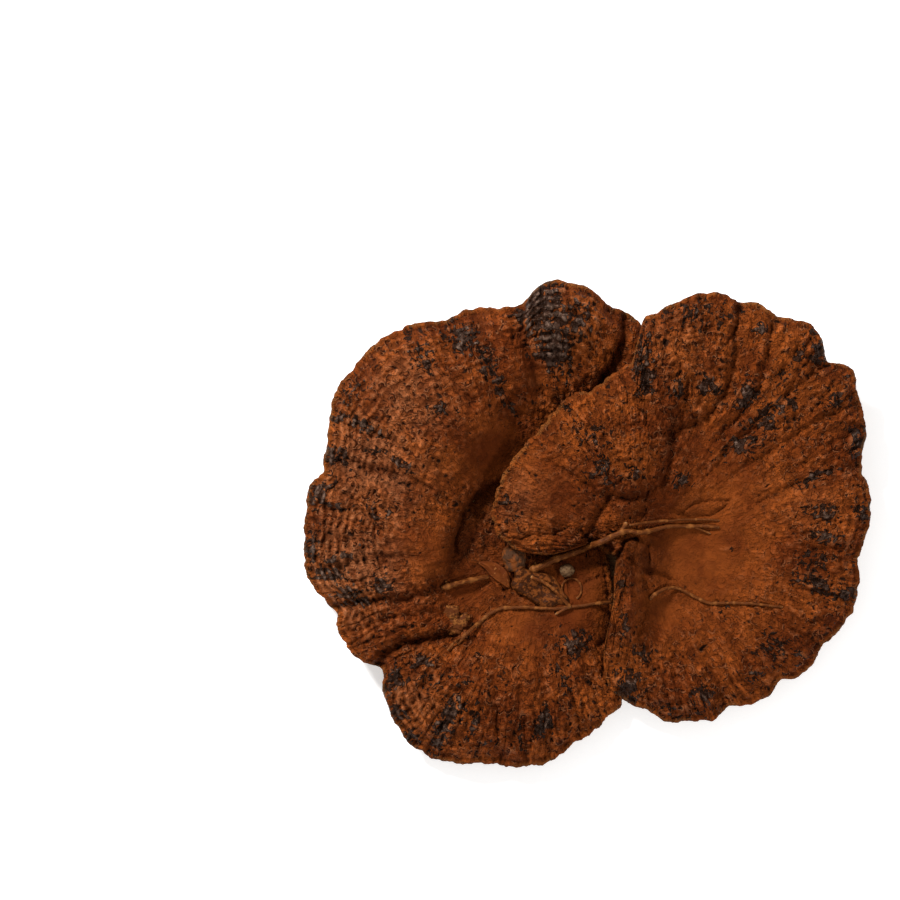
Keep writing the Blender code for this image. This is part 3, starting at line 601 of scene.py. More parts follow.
def fill_lip(cap, rings, upper, lower):
    """The rounded margin, layered like thin sheets."""
    spread = len(upper["z"]) // len(lower["z"])
    low = np.repeat(lower["z"], spread)
    for r in rings:
        x, y, cos = r["x"], r["y"], r["cos"]
        z = (upper["z"] + low) / 2 + (upper["z"] - low) / 2 * cos
        out, round_it = cap.growth(x, y)
        r.update(z=z, soot=upper["soot"] - 0.6 * (1 - cos), pit=0 * x, smooth=0 * x, sunk=upper["sunk"],
                 crest=0.2 * noise(x / 1.5, y / 1.5 + z, cap.seed + 70), out=out, round=round_it, stain=0 * x,
                 under=0 * x + (0.5 - 0.5 * cos))


VALUES = ("soot", "pit", "smooth", "crest", "sunk", "stain", "out", "round", "under")


def make_cap(name, cap, top, under, material):
    rings = cap_rings(cap, top, under)
    points = [np.stack([r["x"], r["y"], r["z"]], 1) for r in rings]
    crown = [*cap.centre, float(rings[0]["z"].mean())]
    foot = [*cap.centre, float(rings[-1]["z"].mean())]
    flat = np.concatenate([*points, [crown, foot]]) * MM
    starts = np.cumsum([0] + [len(p) for p in points])
    faces = []
    for k in range(len(rings) - 1):
        three, four = joined_rows(starts[k], len(points[k]), starts[k + 1], len(points[k + 1]))
        faces += three
        faces += four
    first, last = len(points[0]), len(points[-1])
    faces += [(starts[-1], i, (i + 1) % first) for i in range(first)]
    tail = int(starts[-2])
    faces += [(starts[-1] + 1, tail + (i + 1) % last, tail + i) for i in range(last)]
    mesh = bpy.data.meshes.new(name)
    mesh.from_pydata(flat.tolist(), [], faces)
    for value in VALUES:
        held = mesh.attributes.new(value, "FLOAT", "POINT")
        ends = [rings[0][value].mean(), rings[-1][value].mean()]
        held.data.foreach_set("value", np.concatenate([*(r[value] for r in rings), ends]))
    mesh.shade_smooth()
    return placed(name, mesh, material)


def placed(name, mesh, material):
    made = bpy.data.objects.new(name, mesh)
    mesh.materials.append(material)
    bpy.context.collection.objects.link(made)
    return made


def stands_for(piece, node):
    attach(piece, "root")
    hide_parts(node)
    return piece


class Value:
    """What flows out of a node, so that a material's sums are written as sums."""

    def __init__(self, paint, socket):
        self.paint, self.socket = paint, socket

    def __add__(self, other):
        return self.paint.math("ADD", self, other)

    def __sub__(self, other):
        return self.paint.math("SUBTRACT", self, other)

    def __rsub__(self, other):
        return self.paint.math("SUBTRACT", other, self)

    def __mul__(self, other):
        return self.paint.math("MULTIPLY", self, other)

    def __abs__(self):
        return self.paint.math("ABSOLUTE", self)


class Paint:
    """Builds one material's nodes."""

    def __init__(self, name, roughness, specular):
        self.material = bpy.data.materials.new(name)
        self.material.use_nodes = True
        self.tree = self.material.node_tree
        self.shader = self.tree.nodes["Principled BSDF"].inputs
        self.shader["Roughness"].default_value = roughness
        self.shader["Specular IOR Level"].default_value = specular
        self.place = self.node("ShaderNodeTexCoord", "Object")

    def put(self, socket, value):
        if isinstance(value, Value):
            self.tree.links.new(value.socket, socket)
        elif isinstance(value, tuple) and socket.type == "RGBA":
            socket.default_value = (*value, 1.0)
        else:
            socket.default_value = value

    def node(self, kind, output, props=None, **inputs):
        made = self.tree.nodes.new(kind)
        for key, value in (props or {}).items():
            setattr(made, key, value)
        for key, value in inputs.items():
            self.put(made.inputs[key.replace("_", " ")], value)
        return Value(self, made.outputs[output])

    def parts(self, kind, props=None, **inputs):
        """All that flows out of a new node."""
        made = self.node(kind, 0, props, **inputs).socket.node
        return [Value(self, socket) for socket in made.outputs]

    def surface(self, name):
        return self.node("ShaderNodeAttribute", "Fac", {"attribute_name": name})

    def math(self, operation, *values, kind="ShaderNodeMath"):
        made = self.tree.nodes.new(kind)
        made.operation = operation
        for socket, value in zip(made.inputs, values):
            self.put(socket, value)
        return Value(self, made.outputs[0])

    def highest(self, a, b):
        return self.math("MAXIMUM", a, b)

    def mix(self, share, a, b, blend="MIX"):
        made = self.tree.nodes.new("ShaderNodeMix")
        made.data_type, made.blend_type = "RGBA", blend
        for socket, value in ((0, share), (6, a), (7, b)):
            self.put(made.inputs[socket], value)
        return Value(self, made.outputs[2])

    def ramp(self, value, low, high, to_low=0.0, to_high=1.0):
        return self.node("ShaderNodeMapRange", "Result", {"interpolation_type": "SMOOTHSTEP"}, Value=value,
                         From_Min=low, From_Max=high, To_Min=to_low, To_Max=to_high)

    def noise(self, scale, detail=3.0, roughness=0.55, vector=None, distortion=0.0):
        return self.node("ShaderNodeTexNoise", "Fac", Vector=vector or self.place, Scale=scale, Detail=detail,
                         Roughness=roughness, Distortion=distortion)

    def spots(self, scale):
        return self.node("ShaderNodeTexVoronoi", "Distance", Vector=self.place, Scale=scale)

    def vector(self, x, y):
        return self.node("ShaderNodeCombineXYZ", "Vector", X=x, Y=y)

    def bump(self, height, distance, strength, **onto):
        return self.node("ShaderNodeBump", "Normal", Height=height, Distance=distance, Strength=strength,
                         **onto)

    def finish(self, colour, roughness=None, normal=None):
        for name, value in (("Base Color", colour), ("Roughness", roughness), ("Normal", normal)):
            if value is not None:
                self.put(self.shader[name], value)
        return self.material


RUST = (0.100, 0.0185, 0.0022)
BRIGHT_RUST = (0.190, 0.0420, 0.0058)
# Pale dust, also the colour of the painted highlights on the crests.
DUST_AND_HIGHLIGHT = (0.315, 0.122, 0.0500)
# Deep rust brown, also the colour of the painted shade in furrows and hollows.
DEEP_RUST_AND_SHADE = (0.034, 0.0058, 0.0008)
SOOT = (0.0120, 0.0056, 0.0030)
# Grey for the painted highlights on the raised tops of the black patches.
PAINTED_GLINT_GREY = (0.120, 0.077, 0.056)
PORES = (0.300, 0.160, 0.060)
CRUST = (0.110, 0.040, 0.010)
LIP_BROWN = (0.210, 0.078, 0.018)
PALE_WOOD = (0.42, 0.22, 0.09)
SCAR_BEND = 0.0022


def scars(p, place, scale, share, least, more):
    """Scattered C-shaped scars, each turned its own way: the groove and the collar outside it."""
    flat = {"voronoi_dimensions": "2D"}
    random, middle = p.parts("ShaderNodeTexVoronoi", flat, Vector=place, Scale=scale)[1:3]
    own_turn, own_size, own_luck = p.parts("ShaderNodeSeparateColor", Color=random)
    local = p.math("SUBTRACT", place, middle, kind="ShaderNodeVectorMath")
    x, y = p.parts("ShaderNodeSeparateXYZ", Vector=local)[:2]
    turn = p.math("ARCTAN2", y, x) + own_turn * (2 * math.pi)
    away = p.math("SQRT", x * x + y * y) * (1 / MM) - (own_size * more + least)
    chosen = p.ramp(own_luck, share, share - 0.08) * p.ramp(p.math("COSINE", turn), -0.2, 0.4)
    return p.ramp(abs(away), 0.38, 0.16) * chosen, p.ramp(abs(away - 0.58), 0.36, 0.08) * chosen


def skin_material():
    """Rusty wrinkled skin with dust, dark varnish and scars, painted highlights and shade over its relief,
    and the pores underneath.
    """
    p = Paint("cap_skin", 0.85, 0.05)
    soot, pit, smooth, crest, sunk, stain, out, round_it, under = (p.surface(name) for name in VALUES)
    rough = 1.0 - smooth * 0.88
    fibre = p.noise(1.0, 3.0, 0.5, p.vector(out * 0.16, round_it * 0.8), 0.4)
    broad = p.noise(45.0, 3.0, 0.6)
    patchy = p.noise(150.0, 3.0, 0.6)
    worm = p.noise(265.0, 2.0, 0.45, distortion=1.3)
    small = p.noise(560.0, 1.0, 0.5, distortion=0.8)
    x, y = p.parts("ShaderNodeSeparateXYZ", Vector=p.place)[:2]
    bent = p.vector(x + (p.noise(420.0, 1.0) - 0.5) * SCAR_BEND,
                    y + (p.noise(390.0, 1.0, distortion=0.3) - 0.5) * SCAR_BEND)
    groove, collar = scars(p, bent, 245.0, 0.55, 0.50, 0.80)
    small_groove, small_collar = scars(p, bent, 400.0, 0.34, 0.10, 0.40)
    where = rough * rough * p.ramp(patchy, 0.38, 0.52, 0.15, 1.0)
    groove = p.highest(groove, small_groove) * where
    collar = p.highest(collar, small_collar) * where
    height = p.ramp(worm, 0.485, 0.525) * 0.5 + p.ramp(small, 0.42, 0.58) * 0.3
    crack = p.ramp(abs(worm - 0.5), 0.014, 0.0035) * (where * p.ramp(patchy, 0.66, 0.50))

    colour = p.mix(p.ramp(broad, 0.36, 0.66), RUST, BRIGHT_RUST)
    colour = p.mix(p.ramp(patchy, 0.50, 0.72) * 0.30, colour, DEEP_RUST_AND_SHADE)
    colour = p.mix(smooth * 0.34, colour, DEEP_RUST_AND_SHADE)
    # Dark powder and painted shade in the hollows; below zero the value paints pale dust.
    colour = p.mix(stain * p.ramp(patchy, 0.30, 0.70, 0.50, 0.80), colour, DEEP_RUST_AND_SHADE)
    colour = p.mix(p.ramp(stain, 0.0, -1.0) * p.ramp(patchy, 0.62, 0.36, 0.12, 0.34), colour, DUST_AND_HIGHLIGHT)
    # Painted light and shade: raised grain and crests lighter, low grain and troughs darker.
    painted_light_and_shade = (height - 0.40) * (rough + 0.20) * 0.52 + 1.05
    colour = p.mix(1.0, colour, painted_light_and_shade * p.ramp(crest, -1.2, 1.4, 0.60, 1.46), "MULTIPLY")
    # Painted highlight: paler on the crests.
    colour = p.mix(p.ramp(crest, 0.0, 1.5) * 0.42, colour, DUST_AND_HIGHLIGHT)
    colour = p.mix(collar * 0.42, colour, DUST_AND_HIGHLIGHT)
    # Painted shade in the furrows: darker the deeper the skin sinks.
    colour = p.mix(p.ramp(sunk, 0.25, 1.0) * 0.50, colour, DEEP_RUST_AND_SHADE)
    colour = p.mix(p.ramp(fibre, 0.55, 0.66) * (rough * 0.40), colour, DEEP_RUST_AND_SHADE)
    colour = p.mix(p.highest(crack, groove) * 0.92, colour, DEEP_RUST_AND_SHADE)
    colour = p.mix(p.ramp(pit, 0.25, 0.7) * 0.90, colour, SOOT)

    field = soot + (worm - 0.5) * 3.2 + groove * 0.30 + (fibre - 0.5) * 1.5 + (small - 0.5) * 0.9
    black, middle = p.ramp(field, 0.54, 0.60), p.ramp(field, 0.60, 0.86)
    # Painted highlight: grey glints on the raised tops inside the black patches.
    painted_shine = middle * p.ramp(crest, 0.1, 1.3, 0.05, 1.0) * p.ramp(small, 0.42, 0.60, 0.20, 0.95)
    colour = p.mix(black * 0.93, colour, p.mix(painted_shine, SOOT, PAINTED_GLINT_GREY))
    lip = p.ramp(under, 0.01, 0.12) * p.ramp(under, 0.60, 0.40)
    colour = p.mix(lip * p.ramp(patchy, 0.40, 0.62, 0.05, 0.45), colour, LIP_BROWN)

    pore = p.spots(2400.0)
    tubes = p.mix(p.ramp(pore, 0.32, 0.14), PORES, CRUST)
    tubes = p.mix(p.ramp(p.noise(60.0, 4.0, 0.6), 0.45, 0.75), tubes, CRUST)
    below = p.ramp(under, 0.62, 0.92)
    colour = p.mix(below, colour, tubes)

    relief = height * (rough + 0.12) + fibre * rough * 0.6 - p.highest(crack, groove) * 0.6 + collar * 0.45
    relief = relief + p.highest(middle, black * 0.3) * 0.65 + p.noise(1500.0, 2.0) * 0.12
    normal = p.bump(pore * below, 0.00025, 0.8, Normal=p.bump(relief, 0.0015, 1.0))
    p.put(p.shader["Metallic"], black * 0.15)
    return p.finish(colour, p.ramp(black, 0.0, 1.0, 0.85, 0.36), normal)


def bark_material(base, light, dark):
    p = Paint("twig_bark", 0.55, 0.08)
    along, side, knot, tip = (p.surface(name) for name in SHOOT_VALUES)
    streak = p.noise(1.0, 4.0, 0.6, p.vector(along * 0.35, side * 2.4))
    blotch = p.noise(420.0, 3.0, 0.6)
    colour = p.mix(p.ramp(streak, 0.38, 0.66), dark, base)
    colour = p.mix(p.ramp(blotch, 0.50, 0.70) * 0.75, colour, light)
    colour = p.mix(knot * 0.65, colour, light)
    colour = p.mix(tip * 0.7, colour, PALE_WOOD)
    return p.finish(colour, p.ramp(blotch, 0.3, 0.7, 0.45, 0.75), p.bump(streak + blotch * 0.5, 0.0003, 0.8))


def flesh_material():
    """Coarse fibres, for the cut stem."""
    p = Paint("stem_flesh", 0.9, 0.1)
    stretch = p.node("ShaderNodeMapping", "Vector", Vector=p.place, Scale=(1.0, 4.0, 0.6))
    fibre = p.noise(260.0, 5.0, 0.65, stretch)
    ringed = p.noise(70.0, 3.0, 0.5)
    colour = p.mix(p.ramp(fibre, 0.35, 0.70), (0.13, 0.055, 0.020), (0.34, 0.20, 0.10))
    colour = p.mix(p.ramp(ringed, 0.50, 0.75), colour, (0.10, 0.035, 0.012))
    return p.finish(colour, None, p.bump(fibre, 0.0008, 0.9))


def leaf_material():
    p = Paint("dry_leaf", 0.7, 0.06)
    vein = p.noise(500.0, 3.0, 0.6, distortion=1.0)
    blotch = p.noise(260.0, 4.0, 0.6)
    colour = p.mix(p.ramp(blotch, 0.35, 0.70), (0.080, 0.0165, 0.0024), (0.135, 0.0320, 0.0052))
    colour = p.mix(p.ramp(vein, 0.58, 0.72), colour, (0.300, 0.110, 0.030))
    return p.finish(colour, None, p.bump(vein + blotch, 0.0004, 0.9))


def grit_material(name, base, light, size=520.0):
    p = Paint(name, 0.7, 0.05)
    blotch = p.noise(size, 4.0, 0.6)
    colour = p.mix(p.ramp(blotch, 0.46, 0.58), base, light)
    colour = p.mix(p.ramp(p.spots(900.0), 0.28, 0.10), colour, DEEP_RUST_AND_SHADE)
    return p.finish(colour, p.ramp(blotch, 0.3, 0.7, 0.45, 0.8), p.bump(blotch, 0.0005, 0.9))


def surface_of(pieces):
    """A search tree over the pieces, for laying things on them."""
    corners, faces = [], []
    for piece in pieces:
        start = len(corners)
        corners += [v.co.copy() for v in piece.data.vertices]
        faces += [[start + i for i in f.vertices] for f in piece.data.polygons]
    return BVHTree.FromPolygons(corners, faces)


def ground(tree, x, y):
    hit = tree.ray_cast(Vector((x * MM, y * MM, 1.0)), Vector((0, 0, -1)))[0]
    return hit.z / MM if hit is not None else 0.0


def even_path(points, step):
    """Points a step apart along a Catmull-Rom curve through the given ones."""
    fine = []
    padded = [points[0]] + list(points) + [points[-1]]
    for a, b, c, d in zip(padded, padded[1:], padded[2:], padded[3:]):
        pieces = max(1, round(math.dist(b, c) / step))
        for k in range(pieces):
            t = k / pieces
            fine.append(tuple(
                0.5 * (2 * q + (r - p) * t + (2 * p - 5 * q + 4 * r - s) * t * t
                       + (3 * q - p - 3 * r + s) * t ** 3)
                for p, q, r, s in zip(a, b, c, d)))
    fine.append(tuple(points[-1]))
    return fine


SHOOT_VALUES = ("along", "side", "knot", "tip")


class Sweep:
    """A mesh gathered from round shoots."""

    def __init__(self):
        self.points, self.faces, self.values = [], [], {name: [] for name in SHOOT_VALUES}

    def shoot(self, path, radii, knots=(), sides=12, seed=0):
        """Sweep a lumpy round section along a path of (x, y, z)."""
        path, radii = np.array(path, float), np.array(radii, float)
        count = len(path)
        run = np.concatenate([[0], np.cumsum(np.linalg.norm(np.diff(path, axis=0), axis=1))])
        ahead = np.gradient(path, axis=0)
        ahead /= np.linalg.norm(ahead, axis=1)[:, None] + 1e-9
        across = np.cross(ahead, (0, 0, 1.0))
        across /= np.linalg.norm(across, axis=1)[:, None] + 1e-9
        upward = np.cross(across, ahead)
        knot = np.zeros(count)
        for place in knots:
            knot = np.maximum(knot, np.exp(-((run - place * run[-1]) / (radii.mean() * 0.8)) ** 2))
        taper = np.clip(np.minimum(run, run[-1] - run) / (radii * 0.8), 0.0, 1.0)
        start = len(self.points)
        for i in range(count):
            for k in range(sides):
                turn = 2 * math.pi * k / sides
                lumpy = 1 + 0.10 * noise(np.array(run[i] / 2.2), np.array(k * 0.8 + seed), seed)
                lumpy += 0.06 * math.cos(3 * turn + run[i] * 0.3 + seed) + 0.24 * knot[i]
                r = radii[i] * float(lumpy) * (0.45 + 0.55 * math.sqrt(taper[i]))
                spot = path[i] + across[i] * r * math.cos(turn) + upward[i] * r * math.sin(turn)
                self.points.append(tuple(spot * MM))
                side, tip = abs(2 * k / sides - 1) * sides * 0.5 + seed, float(i in (0, count - 1))
                for name, value in zip(SHOOT_VALUES, (run[i], side, knot[i], tip)):
                    self.values[name].append(value)
        for i in range(count - 1):
            for k in range(sides):
                a, b = start + i * sides + k, start + i * sides + (k + 1) % sides
                self.faces.append((a, b, b + sides, a + sides))
        self.faces.append(tuple(range(start, start + sides))[::-1])
        last = start + (count - 1) * sides
        self.faces.append(tuple(range(last, last + sides)))

    def piece(self, name, material):
        mesh = bpy.data.meshes.new(name)
        mesh.from_pydata(self.points, [], self.faces)
        for value, numbers in self.values.items():
            mesh.attributes.new(value, "FLOAT", "POINT").data.foreach_set("value", numbers)
        mesh.shade_smooth()
        return placed(name, mesh, material)


def laid(tree, points):
    """A route over the skin, which bridges the dips like something stiff."""
    path = even_path(points, TWIG_STEP)
    level = np.array([ground(tree, x, y) for x, y in path])
    wide = np.array([level[max(0, i - BRIDGE):i + BRIDGE + 1].max() for i in range(len(level))])
    kernel = np.hanning(2 * BRIDGE + 3)[1:-1]
    soft = np.convolve(np.pad(wide, BRIDGE, mode="edge"), kernel / kernel.sum(), "valid")
    return [(x, y, z) for (x, y), z in zip(path, soft)]


# Twigs: (name, radius at each end, points, where the knots are, spurs as (share along, tip, radius)).
TWIGS = [
    ("main_twig", 1.45, 0.65,
     [(-23.2, -17.9), (-19.2, -16.9), (-13.2, -13.9), (-3.2, -10.4), (4.3, -6.9), (11.8, -3.4), (15.8, -2.4),
      (21.8, -2.9), (31.8, -0.9), (44, -0.5), (53, -1)], (0.02, 0.14, 0.51, 0.64, 0.86),
     [(0.50, (15.2, 1.2), 0.9), (0.86, (49.5, -3.6), 0.45), (0.13, (-13.5, -11.6), 0.5),
      (0.04, (-21, -15), 0.4)]),
    ("side_twig", 0.55, 0.45,
     [(16.5, 0.2), (18.3, 0.4), (24.3, 1.2), (31.8, 1.7), (44, 2), (53, 1.7)], (0.35, 0.75), []),
    ("long_twig", 0.75, 0.65,
     [(-52, -47.5), (-50, -45), (-43.2, -38.9), (-38.2, -35.4), (-34.2, -33.6), (-28.2, -33.2),
      (-20.8, -33.4), (-13.2, -33.4), (-6.2, -32.9), (0.8, -31.9), (6.8, -31.1), (9.6, -31)],
     (0.0, 0.24, 0.37, 0.74, 0.92), []),
    ("far_twig", 0.75, 0.5,
     [(25, -30), (27, -28), (32, -25.5), (37, -26), (43, -29), (49, -31.5), (55, -31.5), (63, -31.5),
      (70, -32), (78, -33)], (0.05, 0.42, 0.53, 0.66), []),
    ("forked_twig", 0.65, 0.7,
     [(-23, -20.7), (-21.2, -21.4), (-18.2, -22.6), (-14.7, -24.9), (-11.2, -28.4), (-8.7, -31.1),
      (-7.0, -33.0)], (0.02, 0.5, 0.97), [(0.97, (-13, -35.9), 0.6)]),
    ("stout_twig", 1.15, 0.9,
     [(-58.5, -25.2), (-56, -24.4), (-47, -22.2), (-40, -20.8)], (0.12, 0.6), [(0.12, (-57, -22.4), 0.5)]),
    ("thin_twig", 0.5, 0.4, [(-56, -50), (-53, -46.5), (-49.5, -44.5)], (0.3, 0.9), []),
]
TWIG_STEP = 0.6
BRIDGE = 5                     # steps on each side that a twig spans


def make_twigs(bed, material):
    for number, (name, thick, thin, points, knots, spurs) in enumerate(TWIGS):
        sweep = Sweep()
        path = laid(bed, points)
        radii = np.linspace(thick, thin, len(path))
        path = [(x + 0.25 * float(noise(np.array(i / 9.0), np.array(0.5), number)),
                 y + 0.25 * float(noise(np.array(i / 9.0), np.array(7.5), number)), z + 0.55 * radii[i])
                for i, (x, y, z) in enumerate(path)]
        sweep.shoot(path, radii, knots, seed=number)
        for share, tip, radius in spurs:
            root = path[min(len(path) - 1, round(share * (len(path) - 1)))]
            end = (*tip, max(ground(bed, *tip) + radius * 0.6, root[2] - 2.0))
            spur = [tuple(a + (b - a) * t for a, b in zip(root, end)) for t in np.linspace(0, 1, 8)]
            sweep.shoot(spur, np.linspace(radius, radius * 0.8, 8), (0.85,), 8, number + 20)
        stands_for(sweep.piece(name + "_bark", material), name)


def make_tendril(bed, material):
    loop_centre, loop_radius, thickness = (-6.4, -25.8), 4.3, 0.45
    turns = [math.radians(a) for a in range(-60, 245, 6)]
    path = []
    for turn in turns:
        x = loop_centre[0] + loop_radius * math.cos(turn) * 0.92
        y = loop_centre[1] + loop_radius * math.sin(turn)
        path.append((x, y, ground(bed, x, y) + thickness))
    level = np.convolve(np.pad([p[2] for p in path], 4, mode="edge"), np.ones(9) / 9, "valid")
    path = [(x, y, z) for (x, y, old), z in zip(path, level)]
    sweep = Sweep()
    sweep.shoot(path, np.linspace(thickness, thickness * 0.7, len(path)), (0.3, 0.7), 8, 5)
    stands_for(sweep.piece("tendril_bark", material), "tendril")


def make_lump(node, name, centre, radii, turn, bed, material, shaper, detail=5):
    """A lumpy growth whose foot sinks into the skin; shaper bends each unit direction."""
    shape = bmesh.new()
    bmesh.ops.create_icosphere(shape, subdivisions=detail, radius=1.0)
    c, s = math.cos(math.radians(turn)), math.sin(math.radians(turn))
    floor = ground(bed, *centre)
    ways = np.array([v.co for v in shape.verts])
    moved = shaper(ways)
    x, y, z = moved[:, 0] * radii[0], moved[:, 1] * radii[1], moved[:, 2] * radii[2]
    px, py = centre[0] + x * c - y * s, centre[1] + x * s + y * c
    pz = floor + radii[2] * 0.5 + z
    for v, a, b, h in zip(shape.verts, px, py, pz):
        v.co = (a * MM, b * MM, h * MM)
    mesh = bpy.data.meshes.new(name)
    shape.to_mesh(mesh)
    shape.free()
    mesh.shade_smooth()
    return stands_for(placed(name, mesh, material), node)


def knob_shape(ways):
    x, y, z = ways.T
    swell = 1 + 0.16 * layered(x * 1.6, y * 1.6 + z, 3, 71) + 0.05 * layered(x * 6, y * 6 + z * 3, 2, 72)
    return ways * swell[:, None]


def cup_shape(ways):
    """A shallow dish with a rolled rim and a crumbly inside."""
    x, y, z = ways.T
    radius = np.hypot(x, y)
    dish = 0.85 * ramp(radius, 0.85, 0.1) * (z > 0)
    crumbs = 0.16 * layered(x * 5, y * 5, 3, 74) * ramp(radius, 1.0, 0.7) * (z > 0)
    wave = 1 + 0.10 * np.sin(5 * np.arctan2(y, x) + 1.0) * radius
    return np.stack([x * wave, y * wave, z * 0.9 - dish + crumbs], 1)


def pebble_shape(ways):
    x, y, z = ways.T
    swell = 1 + 0.13 * layered(x * 1.9 + 3, y * 1.9 + z * 1.3, 2, 77)
    return np.sign(ways) * np.abs(ways) ** 0.82 * swell[:, None]


def make_leaf(bed, material):
    """A scrap of leaf, folded along its middle with a drawn-out tip."""
    spine = even_path([(-44, -14.9), (-40, -16.2), (-36.8, -18.4), (-33.6, -21.4), (-31.2, -25.2)], 0.5)
    count, across = len(spine), 13
    level = max(ground(bed, x, y) for x, y in spine)
    points, faces = [], []
    for side in (1, -1):
        for i, (x, y) in enumerate(spine):
            share = i / (count - 1)
            half = 2.7 * math.sin(math.pi * min(1.0, share * 1.01) ** 1.15) ** 0.85 + 0.14
            ax, ay = 0.64, 0.77
            for k in range(across):
                v = 2 * k / (across - 1) - 1
                curl = 1.5 * (1 - abs(v + 0.25) ** 1.2) * math.sin(math.pi * share)
                curl = curl + 0.35 * math.sin(7 * share + 3 * v)
                rough = 0.15 * float(noise(np.array(share * 8), np.array(v * 3.0), 80))
                z = level + 0.9 + curl + rough + 0.9 * share * (1 - share) * 3 + side * 0.14
                points.append(((x + ax * half * v) * MM, (y + ay * half * v) * MM, z * MM))
    size = count * across
    for i in range(count - 1):
        for k in range(across - 1):
            a = i * across + k
            quad = (a, a + across, a + across + 1, a + 1)
            faces.append(quad)
            faces.append(tuple(size + q for q in quad)[::-1])
    edge = [i * across for i in range(count)] + [(count - 1) * across + k for k in range(1, across)]
    edge += [i * across + across - 1 for i in range(count - 2, -1, -1)] + list(range(across - 2, 0, -1))
    for a, b in zip(edge, edge[1:] + edge[:1]):
        faces.append((a, size + a, size + b, b)[::-1])
    mesh = bpy.data.meshes.new("leaf_scrap_blade")
    mesh.from_pydata(points, [], faces)
    mesh.shade_smooth()
    stands_for(placed("leaf_scrap_blade", mesh, material), "leaf_scrap")


def add_chunk(shape, centre, radii, bed, seed):
    """Add a crumbly chunk, flattened below, to a mesh that is being built."""
    made = bmesh.ops.create_icosphere(shape, subdivisions=4, radius=1.0)["verts"]
    ways = np.array([v.co for v in made])
    x, y, z = ways.T
    swell = 1 + 0.34 * layered(x * 2.1 + seed, y * 2.1 + z, 3, seed)
    swell = swell + 0.05 * layered(x * 9, y * 9 + z * 7, 1, seed + 5)
    blocky = np.sign(ways) * np.abs(ways) ** 0.7 * swell[:, None]
    level = ground(bed, *centre)
    for v, (a, b, c) in zip(made, blocky):
        height = level + radii[2] * (0.35 + max(c, -0.8))
        v.co = ((centre[0] + a * radii[0]) * MM, (centre[1] + b * radii[1]) * MM, height * MM)


def make_flake(bed, material):
    """Scraps of bark: a torn thin plate and the crumbled chunk beside it."""
    shape = bmesh.new()
    add_chunk(shape, (-54.8, -34.8), (3.0, 2.5, 0.6), bed, 86)
    add_chunk(shape, (-52.9, -39.6), (4.4, 3.7, 0.9), bed, 91)
    add_chunk(shape, (-49.4, -36.9), (2.2, 1.5, 0.6), bed, 97)
    mesh = bpy.data.meshes.new("bark_flake_scrap")
    shape.to_mesh(mesh)
    shape.free()
    mesh.shade_smooth()
    stands_for(placed("bark_flake_scrap", mesh, material), "bark_flake")


def make_stage():
    """A pale floor, a broad soft key light from the upper left and an even pale sky."""
    bpy.ops.mesh.primitive_plane_add(size=6.0, location=(0, 0, 0))
    floor = bpy.context.object
    floor.name = "floor"
    p = Paint("floor_paper", 0.9, 0.0)
    p.put(p.shader["Emission Color"], (1.0, 1.0, 1.0))
    p.put(p.shader["Emission Strength"], FLOOR_GLOW)
    floor.data.materials.append(p.finish(p.mix(p.noise(8.0), (0.86, 0.86, 0.86), (0.90, 0.90, 0.90))))
    world = bpy.data.worlds.new("pale_sky")
    bpy.context.scene.world = world
    world.use_nodes = True
    sky = world.node_tree.nodes["Background"]
    sky.inputs["Color"].default_value = (1.0, 0.985, 0.97, 1.0)
    sky.inputs["Strength"].default_value = SKY
    for name, spot, size, power in LAMPS:
        lamp = bpy.data.lights.new(name, "AREA")
        lamp.shape = "DISK"
        lamp.size = size
        lamp.energy = power
        made = bpy.data.objects.new(name, lamp)
        made.location = spot
        made.rotation_euler = (-Vector(spot)).to_track_quat("-Z", "Y").to_euler()
        bpy.context.collection.objects.link(made)


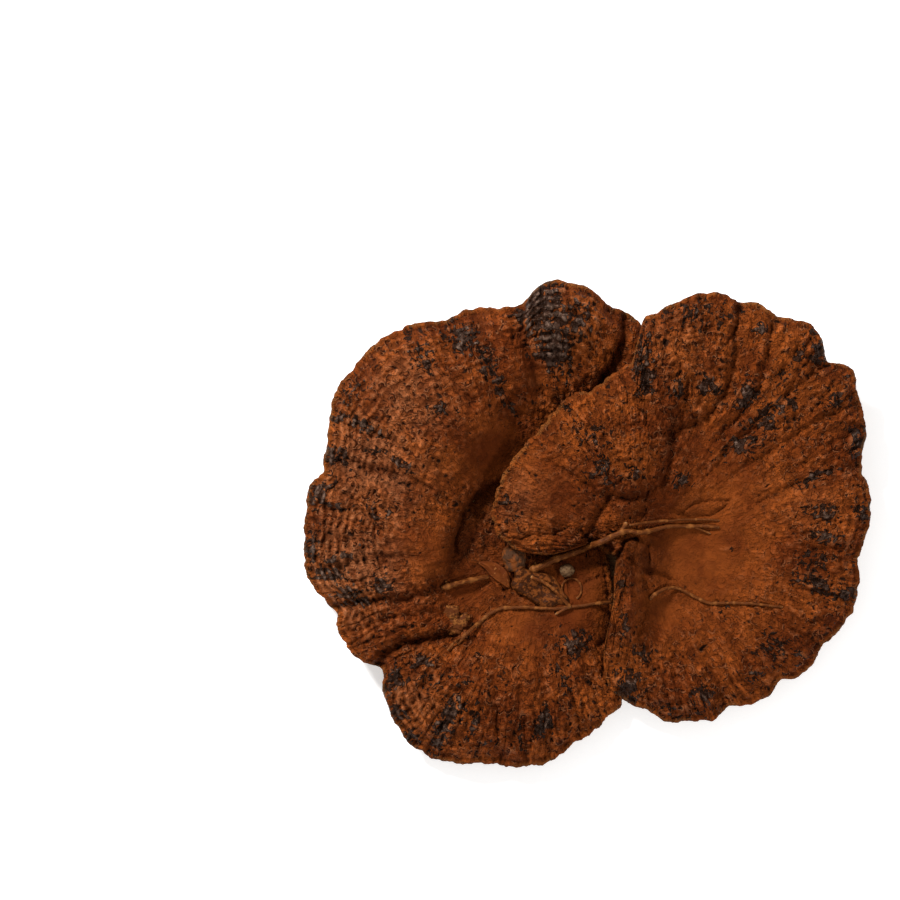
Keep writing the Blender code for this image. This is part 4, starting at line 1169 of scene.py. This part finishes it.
SKY = 0.52
FLOOR_GLOW = 0.40
LAMPS = [("key", (-0.70, 0.85, 0.90), 0.26, 31.0), ("fill", (0.90, -0.60, 0.85), 0.30, 6.5)]
FRAME_WIDTH = 0.360            # floor width that the picture takes in, at the height of the skins
FRAME_CENTRE = (-0.0552, 0.0300)
CAMERA_HEIGHT = 1.5
SKIN_LEVEL = 0.020


def make_camera():
    """Straight down, with a long lens."""
    camera = bpy.data.cameras.new("camera")
    camera.sensor_width = 36.0
    camera.lens = 36.0 * (CAMERA_HEIGHT - SKIN_LEVEL) / FRAME_WIDTH
    camera.clip_end = 50.0
    made = bpy.data.objects.new("camera", camera)
    made.location = (*FRAME_CENTRE, CAMERA_HEIGHT)
    bpy.context.collection.objects.link(made)
    bpy.context.scene.camera = made


def build():
    bpy.context.scene.view_settings.view_transform = "Standard"
    make_camera()
    make_stage()
    skin = skin_material()
    left = make_cap("left_cap_skin", LEFT, left_top, left_under, skin)
    right = make_cap("right_cap_skin", RIGHT, right_top, right_under, skin)
    stands_for(left, "left_cap")
    stands_for(right, "right_cap")
    caps = [left, right]
    bed = surface_of(caps)
    dark = grit_material("dark_skin", (0.125, 0.034, 0.0070), (0.052, 0.022, 0.010), 260.0)
    earthy = grit_material("crumbly_skin", (0.030, 0.0080, 0.0016), (0.125, 0.034, 0.0062))
    caps.append(make_lump("young_cap", "young_cap_knob", (-29.2, -13.6), (5.0, 5.8, 4.2), 10, bed, dark,
                          knob_shape))
    caps.append(make_lump("cup_lobe", "cup_lobe_dish", (-19.4, -25.6), (12.2, 6.3, 3.4), -27, bed, earthy,
                          cup_shape))
    caps.append(make_lump("pebble", "pebble_stone", (-8.3, -18.3), (2.8, 2.6, 2.0), 20, bed,
                          grit_material("grit", (0.072, 0.036, 0.016), (0.122, 0.068, 0.032)),
                          pebble_shape, 4))
    bed = surface_of(caps)
    bark = bark_material((0.150, 0.040, 0.0068), (0.250, 0.086, 0.0190), (0.050, 0.012, 0.0016))
    make_tendril(bed, bark)
    make_twigs(bed, bark)
    make_leaf(bed, leaf_material())
    make_flake(bed, grit_material("crumbled_bark", (0.070, 0.018, 0.0038), (0.185, 0.063, 0.0140), 420.0))
    bpy.data.objects["stem"].material_slots[0].material = flesh_material()
    return caps


build()
